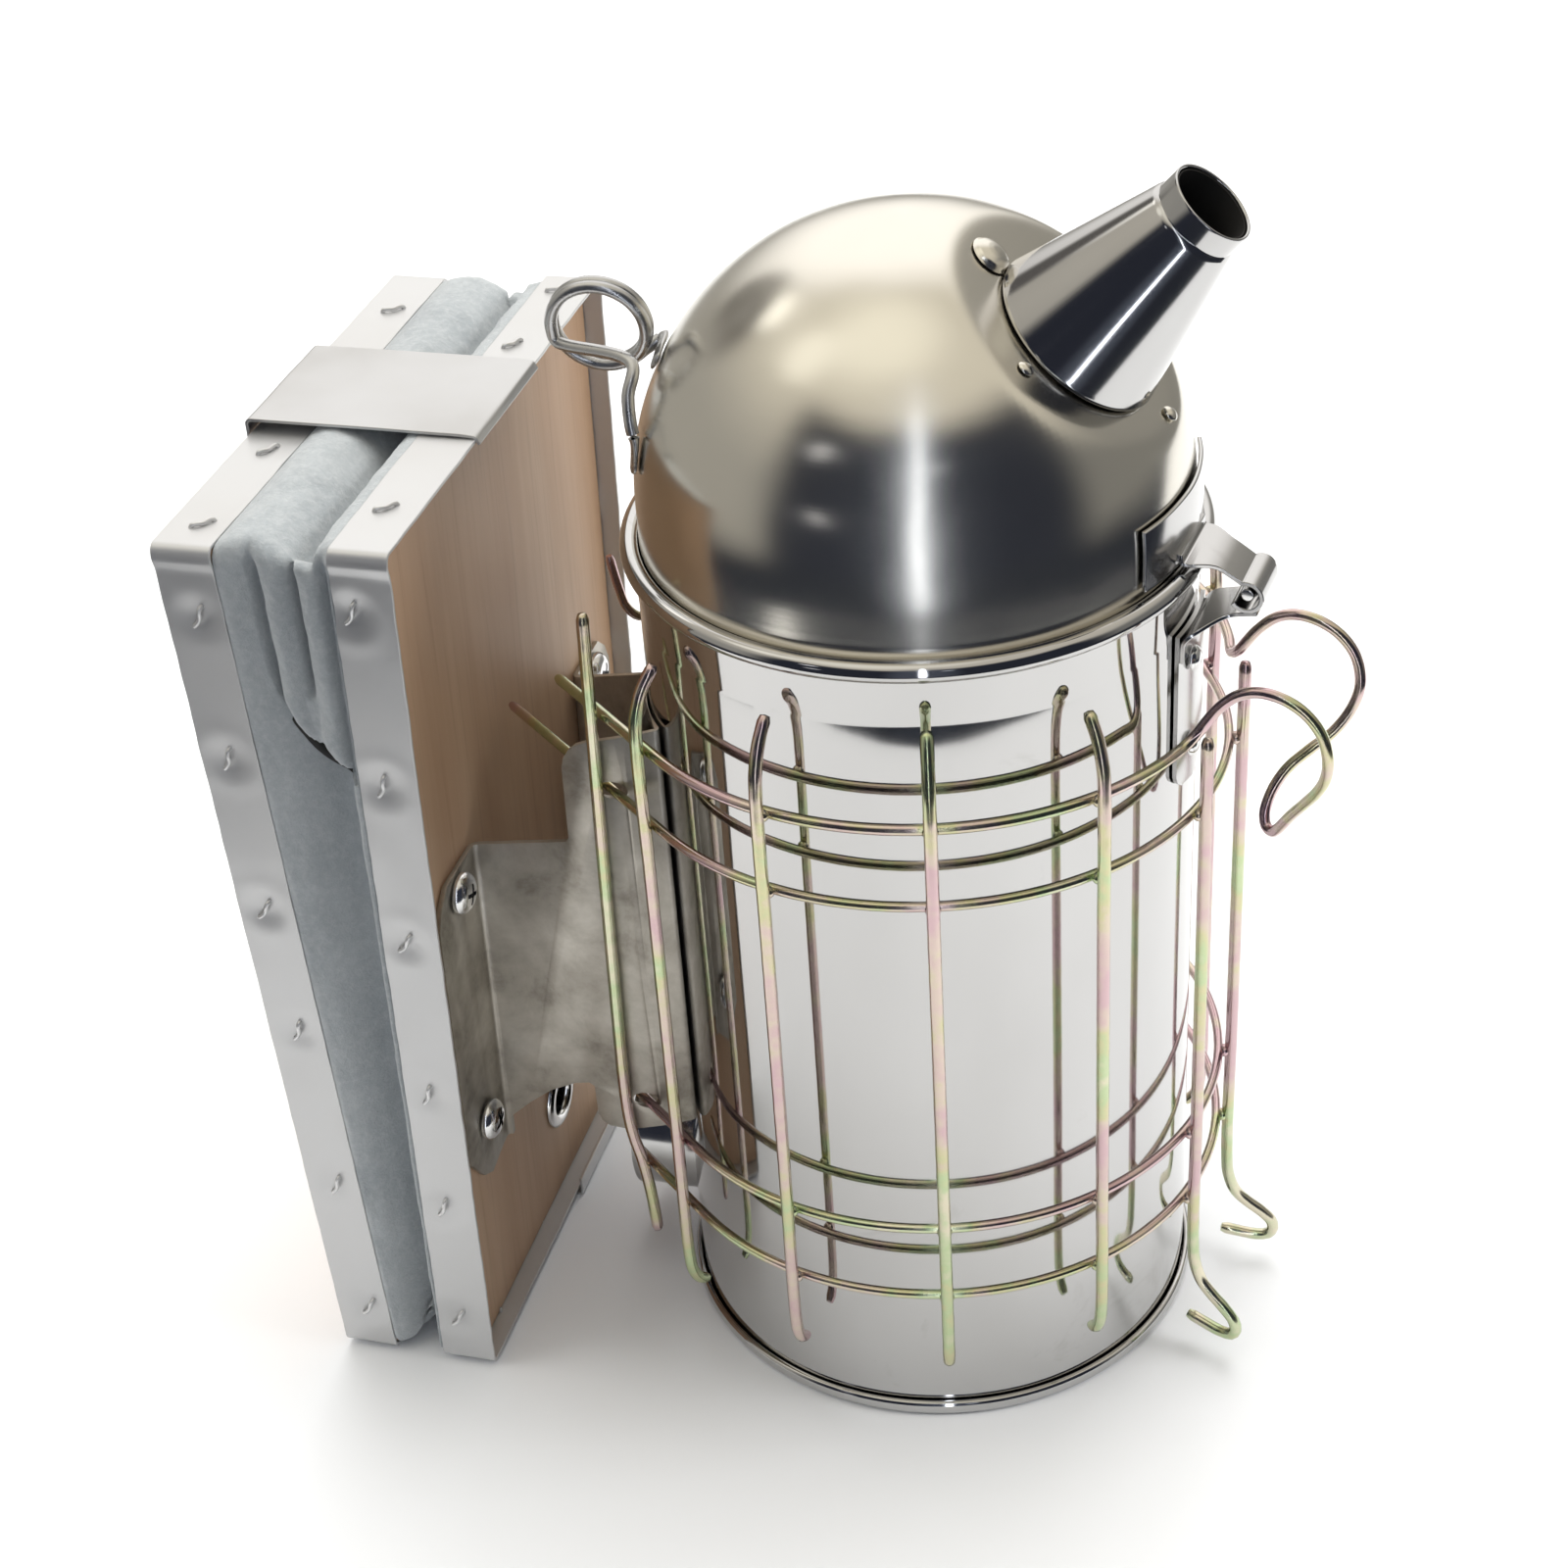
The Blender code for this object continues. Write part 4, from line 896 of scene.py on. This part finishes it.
def make_bracket():
    half = [(-82.55, -50.6), (-82.55, -WEB_Y), (-47, -WEB_Y)]
    start = 180 + degrees(asin(WEB_Y / WEB_R)) - 0.4
    web = list(circle((0, 0), WEB_R, start, 360 - start, 40))
    path = half + web + [(x, -y) for x, y in half[::-1]]
    line = rounded([(x, y, 0) for x, y in path], 1.7, 5)
    rows = []
    heights = (36, 150)
    for p, a, b in with_neighbours(line):
        normal = Vector((a.y - b.y, b.x - a.x, 0)).normalized() * 0.5
        rows.append([tuple((*(p + n).xy, z) for n in (normal, -normal)) for z in heights])

    def trim(obj):
        above = [(-90, 160), (-90, 112), (-62.4, 116.2), (-61.7, 117), (-61.4, 133), (-60.9, 135.2)]
        above += [(-59.8, 137), (-58.3, 138.3), (-56.4, 139.1), (-50.7, 140.6), (-38, 144.5), (-38, 160)]
        below = [(-80.9, 30), (-80.9, 45.4), (-76.5, 49.8), (-71.8, 53.8), (-66.5, 56.6), (-63.6, 57.2)]
        below += [(-62.6, 56.4), (-62.5, 49.4), (-61.8, 47.6), (-60.2, 46.5), (-56, 46.2), (-49, 48.4)]
        below += [(-38, 52.5), (-38, 30)]
        waste = [prism_mesh(outline, "y", -70, 70) for outline in (above, below)]
        low = [(29, 30), (29, 41), (36, 39.8), (40.5, 38.6), (44.5, 41), (51, 49.5), (51, 30)]
        high = [(44.5, 120), (44.5, 113.5), (48.6, 110), (51, 105), (51, 120)]
        for side in (-1, 1):
            for outline in (low, high):
                waste.append(prism_mesh([(side * y, z) for y, z in outline], "x", -90, -79))
            for z in SCREW_Z:
                waste.append(rod_mesh(2.1, (-90, side * SCREW_Y, z), (-80, side * SCREW_Y, z)))
        way = Vector((-0.758, 0.652, 0)) * 5
        for z in RING_Z[1:3]:
            spot = Vector((-52.3, -WEB_Y, z))
            waste.append(rod_mesh(1.9, spot - way, spot + way))
        for shape in waste:
            cut(obj, shape, solver="MANIFOLD")
        for vertex in obj.data.vertices:
            vertex.co.x += lean(vertex.co.x / MM, vertex.co.z / MM) * MM
        bevel(obj, 0.22, 50)

    piece("bellows_bracket", shell_mesh(rows), ZINC_SHEET, "fire_pot", ["bracket"], modify=trim)


def make_screws():
    number = 0
    for side in (-1, 1):
        for z in SCREW_Z:
            number += 1
            profile = [(0, -7.5), (0.8, -6.5), (1.7, -5), (1.7, 0), (4.1, 0), (4.3, 0.3), (4.2, 1)]
            profile += [(3.7, 1.8), (2.8, 2.4), (1.4, 2.7), (0, 2.75)]
            spot = (-81.75 + FRONT_LEAN * (z - LEAN_Z), side * SCREW_Y, z)
            place = aim(spot, (1, 0, -FRONT_LEAN)) @ Matrix.Rotation(0.5 + number * 0.7, 4, "Z")

            def recess(obj, place=place):
                for half in ((2.1, 0.42), (0.42, 2.1)):
                    low, high = (-half[0], -half[1], 1.2), (half[0], half[1], 4)
                    cut(obj, box_mesh(low, high), place=place)

            looks = {"slot": "chrome", "modify": recess}
            name = f"bracket_screw_{number}"
            lathe(f"screw_{number}", profile, 40, SCREW_STEEL, "fire_pot", [name], place, **looks)


# Bellows.

HALF, FLOOR_Z = 57.4, 1
FRONT_TOP, REAR_TOP = 191.2, 189.4
COVER_TOP = (FRONT_TOP + REAR_TOP) / 2
REAR_LEAN = 0.0402
TIN_WIDTH, TIN_SHEET, STRAP_SHEET = 11.2, 0.66, 0.6
SUEDE_SHEET = 1.3


def front_plane(z):
    """Where the front board's outer face is at a height."""
    return -81.03 + FRONT_LEAN * z


def rear_plane(z):
    return -113.8 - REAR_LEAN * z


def cover_span(z):
    """Where the suede starts and ends between the boards, just past the edges of the tin."""
    return rear_plane(z) + TIN_WIDTH + 0.04, front_plane(z) - TIN_WIDTH - 0.04


def board_outline(top, radius, step):
    """Close points of (y, z, outward direction) round a board with rounded corners."""
    a, b, c = HALF - radius, FLOOR_Z + radius, top - radius
    corners = ((a, c, 0), (-a, c, 90), (-a, b, 180), (a, b, 270))
    loop = []
    for (y, z, start), (y2, z2, start2) in zip(corners, corners[1:] + corners[:1]):
        for i in range(5):
            turn = radians(start + 90 * i / 4)
            out = (cos(turn), sin(turn))
            loop.append((y + radius * out[0], z + radius * out[1], out))
        turn = radians(start2)
        out = (cos(turn), sin(turn))
        begin, end = Vector(loop[-1][:2]), Vector((y2 + radius * out[0], z2 + radius * out[1]))
        count = max(2, round((end - begin).length / step))
        loop += [(*begin.lerp(end, i / count), out) for i in range(1, count)]
    return loop


NEAR_REAR = ((-114.5, 175.6), (-114.3, 146), (-113, 112.5), (-111, 84), (-109.2, 45), (-107.2, 12))
NEAR_FRONT = ((-85.4, 179), (-84.8, 143.5), (-85.4, 108.5), (-86, 72), (-86.7, 43), (-87.5, 12.7))
TOP_REAR = ((-115, -49), (-115, -21), (-115, 40))
TOP_FRONT = ((-83.5, -41.5), (-84, 24.6), (-83.8, 50))


def staple_spots(front):
    """Each staple as (point, outward, tilt)."""
    near, over, top, x_foot = NEAR_REAR, TOP_REAR, REAR_TOP, rear_plane(0) + 5.5
    if front:
        near, over, top, x_foot = NEAR_FRONT, TOP_FRONT, FRONT_TOP, front_plane(0) - 5.5
    spots = []
    for k, (x, z) in enumerate(near):
        spots.append((Vector((x, -HALF, z)), Vector((0, -1, 0)), 62 + 9 * sin(k * 2.3)))
        spots.append((Vector((x, HALF, z - 3)), Vector((0, 1, 0)), 118 + 9 * sin(k * 1.7)))
    for k, (x, y) in enumerate(over):
        spots.append((Vector((x, y, top)), Vector((0, 0, 1)), 40 + 14 * sin(k * 1.9)))
    for k, y in enumerate((-42, -14, 42)):
        spots.append((Vector((x_foot, y, FLOOR_Z)), Vector((0, 0, -1)), 30 + 20 * k))
    return spots


def strip_push(point, out, spots, top):
    """How far the tin stands off its flat: waves, dents round the staples and the folded corner."""
    push = 0.1 * lump(point, 13) - 0.05
    for spot, way, _ in spots:
        away = (Vector(point) - spot).length
        dent = 0.5 * exp(-((away / 3.4) ** 2)) - 0.12 * exp(-(((away - 5.5) / 2.2) ** 2))
        push -= dent if abs(way.y) > 0.5 else 0.35 * dent
    if abs(out[0]) > 0.9:
        push += 0.42 * exp(-(((top - point[2] - 2.6) / 1.3) ** 2))
    return min(0.45, push)


def make_strip(name, node, plane, top, sign):
    spots = staple_spots(sign > 0)
    loop = board_outline(top, 1.5, 0.9)
    rows = []
    for y, z, out in loop:
        row = []
        for k in range(13):
            x = plane(z) - sign * TIN_WIDTH * k / 12
            push = strip_push((x, y, z), out, spots, top)
            edge = 0.12 * lump((x, y, z), 5, 2) if k in (0, 12) else 0.0
            row.append([(x + edge, y + out[0] * off, z + out[1] * off) for off in (push, push - TIN_SHEET)])
        rows.append(row)
    body = "fire_pot" if sign > 0 else "rear_panel"
    piece(name, shell_mesh(rows, wrap=True), TIN, body, [node], sharp=50, edge=(0.14, 60))
    staples = merged(staple_mesh(*spot) for spot in spots)
    piece(name.replace("tin", "staples"), staples, STAPLE_STEEL, body, sharp=60)


def staple_mesh(spot, out, tilt):
    """A staple's crown, a little proud and skewed, its legs going into the board."""
    side = Vector((1, 0, 0))
    up = out.cross(side)
    along = side * cos(radians(tilt)) + up * sin(radians(tilt))
    across = out.cross(along)
    shape = ((-2, -1.6, 0.1), (-2.2, -0.2, 0.15), (-2, 0.4, 0.1), (-1.1, 0.55, -0.2), (0, 0.42, -0.25))
    shape += ((1.1, 0.55, 0.15), (1.9, 0.42, 0.35), (2.25, -0.1, 0.3), (2.1, -1.6, 0.3))
    line = smooth_line([spot + along * a + out * (b - 0.12) + across * c for a, b, c in shape], 0.35)
    return tube_mesh(line, 0.42, 8)


def make_boards():
    repaint("front_board", BOARD)
    repaint("rear_board", BOARD)
    profile = [(7.35, 0), (7.2, 0.5), (6.4, 1), (5.3, 1.1), (4.5, 0.7), (4.2, 0), (4.2, -6.8), (5, -6.8)]
    profile += [(5, 0)]
    place = aim((front_plane(24.9) - 3.7, 0, 24.9), (1, 0, -FRONT_LEAN))
    lathe("air_eyelet", profile, 56, SCREW_STEEL, "fire_pot", ["outlet_eyelet"], place=place, soft=0.3)
    repaint("valve_flap", LEATHER)


def eased(stops, spot):
    """A value on a smooth curve through (spot, value) stops."""
    if spot <= stops[0][0]:
        return stops[0][1]
    for i, ((a, low), (b, high)) in enumerate(zip(stops, stops[1:])):
        if spot <= b:
            before, after = stops[max(0, i - 1)], stops[min(len(stops) - 1, i + 2)]
            start = (high - before[1]) / (b - before[0]) * (b - a)
            end = (after[1] - low) / (after[0] - a) * (b - a)
            t = (spot - a) / (b - a)
            rise = t * t * (3 - 2 * t)
            return low + (high - low) * rise + start * t * (1 - t) ** 2 - end * t * t * (1 - t)
    return stops[-1][1]


TOP_SHAPE = ((0, 1.15), (0.05, 0.45), (0.15, -0.45), (0.3, -0.8), (0.45, 0), (0.6, 2.6), (0.7, 6))
TOP_SHAPE += ((0.78, 9), (0.83, 8), (0.855, 1.2), (0.89, 0), (0.94, -0.5), (1, -0.65))
SIDE_SHAPE = ((0, 0.25), (0.04, 0.1), (0.1, 0.3), (0.3, 1.8), (0.48, 4.8), (0.62, 7.8), (0.74, 8.6))
SIDE_SHAPE += ((0.83, 6.4), (0.9, 1.8), (0.95, 0.1), (1, 0.25))
FOLD_END = ((0.28, 26), (0.33, 31), (0.45, 36), (0.57, 40), (0.75, 43), (0.97, 47))
RIBS = ((0.26, 1.6), (0.31, 4.6), (0.36, 1.6), (0.45, 0.1), (0.53, 0.4), (0.6, 1.3), (0.645, 1.9))
RIBS += ((0.7, 0.9), (0.79, 0.1), (0.87, 0.7), (0.93, 3.4), (0.97, 1.2))


def side_depth(share, drop):
    """How deep the suede lies on a side: a channel, and near the top a fold hanging over it in two ribs."""
    depth = eased(SIDE_SHAPE, share)
    if 0.26 < share < 0.97:
        end = eased(FOLD_END, share)
        rib = eased(RIBS, share)
        if drop < 30:
            rib += 3.6 * exp(-(((share - 0.645) / 0.024) ** 2)) * min(1, (30 - drop) / 2)
        elif 0.5 < share < 0.8:
            rib = min(rib, 0.8 + 0.1 * (drop - 30))
        rib += 2.2 * max(0, 1 - (end - drop) / 4) ** 2
        here = clamp((end - drop) / 0.9)
        depth = depth * (1 - here) + rib * here
    fade = eased(((-3, 0), (7, 1)), drop)
    return depth * fade + 0.4 * (1 - fade)


def fold_droop(share, drop):
    """How far the fold's lower lip hangs past its own end."""
    left = eased(FOLD_END, share) - drop
    if not 0.28 < share < 0.97 or left < 0:
        return 0.0
    return 1.0 * max(0, 1 - left / 4.5) ** 2 * min(1, (share - 0.28) * 20)


def make_cover():
    """The suede between the boards, whose edges lie just under the tin."""
    loop = board_outline(COVER_TOP, 4, 0.85)
    rows = []
    columns = 64
    for y, z, out in loop:
        row = []
        low, high = cover_span(z)
        side = out[0] ** 2
        for k in range(columns):
            share = k / (columns - 1)
            depth = eased(SIDE_SHAPE, share)
            if z > 60 or side > 0.1:
                depth = side_depth(share, COVER_TOP - z)
            if side < 1.0:
                other = eased(TOP_SHAPE, share) if out[1] > 0 else eased(SIDE_SHAPE, share)
                depth = depth * side + other * (1 - side)
            point = Vector((low + (high - low) * share, y, z))
            ease = min(1, share * 12, (1 - share) * 12)
            rough = 0.55 * lump(point, 10, 7) + 0.3 * lump(point, 3.6, 9) + 0.16 * lump(point, 1.4, 2)
            depth += rough * ease
            droop = fold_droop(share, COVER_TOP - z) * side if z > 60 else 0.0
            both = depth, depth + SUEDE_SHEET
            row.append([(point.x, y - out[0] * d, z - out[1] * d - droop) for d in both])
        rows.append(row)
    cover = piece("suede_cover", shell_mesh(rows, wrap=True), SUEDE, None, sharp=80)
    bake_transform(cover)
    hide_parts("bellows_cover")


def make_painted_fold_shade():
    """Painted shade: a near-black strip laid on the channel just under the fold's lip, where the lip's shadow
    falls.
    """
    line = []
    for k in range(25):
        share = 0.36 + 0.5 * k / 24
        depth = eased(SIDE_SHAPE, share)
        z = COVER_TOP - eased(FOLD_END, share) - 0.62 * depth - 1.1
        low, high = cover_span(z)
        sink = 0.9 * (k / 12 - 1) ** 2
        line.append(Vector((low + (high - low) * share, depth - HALF - 0.1 + sink, z)))
    shape = tube_mesh(smooth_line(line, 0.8), 1)
    # The strip's near-black colour is painted shade under the overhanging lip, not a gap in the suede.
    painted_shade = piece("cover_painted_shade", shape, SOOT_AND_PAINTED_SHADE, None, slot="suede", sharp=80)
    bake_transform(painted_shade)


def make_spring():
    middle, radius, coils = 142, 9, 4
    low, high = rear_plane(middle) + 12.6, front_plane(middle) - 12.6
    points = []
    for i in range(113):
        turn = 2 * pi * coils * i / 112
        share = clamp((i - 14) / 84)
        points.append((low + (high - low) * share, radius * cos(turn), middle + radius * sin(turn)))
    spring = piece("inner_spring", tube_mesh(smooth_line(points, 1.2), 0.8, 8), COIL_WIRE, None, sharp=60)
    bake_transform(spring)
    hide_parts("bellows_spring")


def plate(name, node, path, low, high, body, wave):
    """A bent plate across Y along a path of (x, z)."""
    line = rounded([(x, 0, z) for x, z in path], 0.9, 5)
    dense = []
    for a, b in zip(line, line[1:]):
        count = max(1, round((b - a).length / 1.5))
        dense += [a.lerp(b, i / count) for i in range(count)]
    dense.append(line[-1])
    rows = []
    for i, (p, a, b) in enumerate(with_neighbours(dense)):
        along = (b - a).normalized()
        normal = Vector((-along.z, 0, along.x)) * STRAP_SHEET / 2
        row = []
        for k in range(25):
            y = low + (high - low) * k / 24
            lift = wave * (0.5 + lump((p.x, y, p.z), 11, 4)) if 2 < i < len(dense) - 3 else 0.0
            row.append([(p.x + side * normal.x, y, p.z + side * normal.z + lift) for side in (1, -1)])
        rows.append(row)
    piece(name, shell_mesh(rows), STRAP_TIN, body, [node], sharp=50, edge=(0.12, 60))


def make_clips():
    low, high = rear_plane(REAR_TOP) - 0.6, front_plane(FRONT_TOP) + 0.6
    z = FRONT_TOP + 0.6
    path = [(low, z - 4.6), (low, z - 0.6), (low + 0.6, z), (high - 3.6, z), (high - 0.6, z - 0.25)]
    path += [(high, z - 1.6)]
    plate("top_clip", "retaining_strap", path, -14.6, 17, "strap", 0.1)
    low, high = rear_plane(FLOOR_Z) - 0.9, front_plane(FLOOR_Z) + 0.9
    z = FLOOR_Z - 0.6
    path = [(high, z + 4.4), (high, z + 0.4), (high - 0.4, z), (low + 0.4, z), (low, z + 0.4)]
    path += [(low, z + 4.4)]
    plate("foot_clip", "bottom_strap", path[::-1], -4, 27.5, "fire_pot", 0)


# Table, light and surroundings.


def make_table():
    """A pale table whose front edge curves round the pot."""
    stops = ((-180, 1500), (-125, 1400), (-95, 300), (-67, 300), (-58, 350), (-50, 360), (-43, 306))
    stops += ((-33, 300), (-15, 295), (0, 293), (15, 295), (33, 299.5), (60, 303), (105, 320), (130, 1400))
    stops += ((180, 1500),)
    rim = []
    for k in range(360):
        turn = k - 180
        for (a, low), (b, high) in zip(stops, stops[1:]):
            if a <= turn < b:
                radius = low + (high - low) * (turn - a) / (b - a)
        turn = radians(turn - 76)
        rim.append((radius * cos(turn), radius * sin(turn)))
    table = piece("table", prism_mesh(rim, "z", -0.4, -0.15), PAPER, None)


def make_lights():
    for name, spot, target, size, power in (
        ("overhead", (-0.1, 0.6, 1.5), (0, 0.1, 0), 1.5, 19),
        ("front_fill", (0.35, -1.3, 0.9), (0, 0, 0.1), 0.9, 1),
        ("right_fill", (1.3, 0.1, 0.8), (0, 0, 0.1), 0.7, 10),
        ("left_fill", (-1.3, -0.7, 0.8), (0, 0, 0.1), 0.9, 5),
    ):
        data = bpy.data.lights.new(name, "AREA")
        data.shape = "DISK"
        data.size = size
        data.energy = power
        lamp = bpy.data.objects.new(name, data)
        scene.collection.objects.link(lamp)
        way = Vector(target) - Vector(spot)
        lamp.matrix_world = Matrix.Translation(spot) @ way.to_track_quat("-Z", "Y").to_matrix().to_4x4()
        lamp.visible_glossy = False
        lamp.visible_camera = False


def make_world():
    """A white room that is dark beyond the table's front edge, with one tall window there."""
    world = bpy.data.worlds.new("room")
    scene.world = world
    world.use_nodes = True
    world.node_tree.nodes.clear()
    room = Nodes(world.node_tree)
    way = room.add("TexCoord").outputs["Generated"]
    east, north, rise = room.add("SeparateXYZ", None, way).outputs
    level = room.add("CombineXYZ", None, east, north, 0).outputs[0]
    level = room.add("VectorMath", {"operation": "NORMALIZE"}, level).outputs[0]

    def ease(value, start, end):
        node = room.add("MapRange", {"interpolation_type": "SMOOTHSTEP"}, value, start, end, 0, 1)
        return node.outputs["Result"]

    def times(a, b):
        return room.add("Math", {"operation": "MULTIPLY"}, a, b).outputs[0]

    def near(source, azimuth, elevation, inner, outer):
        """Full within the inner number of degrees of a direction, and nothing past the outer one."""
        a, e, full, none = (radians(x) for x in (azimuth, elevation, inner, outer))
        spot = (cos(a) * cos(e), sin(a) * cos(e), sin(e))
        product = room.add("VectorMath", {"operation": "DOT_PRODUCT"}, source, spot).outputs["Value"]
        return ease(product, cos(none), cos(full))

    def glow(azimuth, elevation, inner, outer):
        return near(way, azimuth, elevation, inner, outer)

    def band(azimuth, inner, outer, low, high):
        """A patch of sky about an azimuth and between two (start, full) rises."""
        return times(near(level, azimuth, 0, inner, outer), times(ease(rise, *low), ease(rise, *high)))

    sky = room.mix(ease(rise, 0.2, 0.85), (0.42, 0.405, 0.37, 1), (0.80, 0.75, 0.645, 1))
    for mask, color in (
        (glow(105, 36, 16, 42), (1.45, 1.42, 1.38)),
        (glow(-140, 80, 5, 26), (1.15, 1.1, 0.95)),
        (glow(-165, 55, 4, 14), (1.3, 1.25, 1.1)),
        (glow(150, 27, 5, 15), (0.16, 0.15, 0.14)),
        (glow(156, 40, 2, 8), (2, 1.95, 1.8)),
        (band(20, 25, 60, (-0.6, -0.5), (0.6, 0.2)), (0.26, 0.255, 0.24)),
        (band(-72, 56, 74, (-1.2, -1.1), (0.83, 0.62)), (0.03, 0.034, 0.048)),
        (ease(rise, -0.1, -0.35), (0.03, 0.034, 0.045)),
        (times(band(-75.5, 3, 16, (-0.6, -0.4), (0.97, 0.7)), 0.5), (0.16, 0.18, 0.23)),
        (band(-75.5, 0.6, 1.9, (-0.6, -0.3), (0.97, 0.75)), (5.5, 5.8, 6.4)),
        (glow(-120, 33, 1.5, 4), (1.2, 1.2, 1.25)),
        (glow(-115, 8, 1.2, 4), (0.9, 0.9, 0.95)),
        (glow(-66, 30, 1, 3), (0.8, 0.85, 0.95)),
    ):
        sky = room.mix(mask, sky, (*color, 1))
    sky = room.mix(room.add("LightPath").outputs["Is Camera Ray"], sky, (1, 1, 1, 1))
    shine = room.add("Background", None, sky, 1)
    room.add("OutputWorld", None, shine.outputs[0])


make_camera()
make_pot()
make_dome()
make_nozzle()
make_handle()
make_hinge()
make_rings()
make_bars()
make_welds()
make_bracket()
make_screws()
make_strip("front_tin", "front_edge_strip", front_plane, FRONT_TOP, 1)
make_strip("rear_tin", "rear_edge_strip", rear_plane, REAR_TOP, -1)
make_boards()
make_cover()
make_painted_fold_shade()
make_spring()
make_clips()
make_table()
make_lights()
make_world()
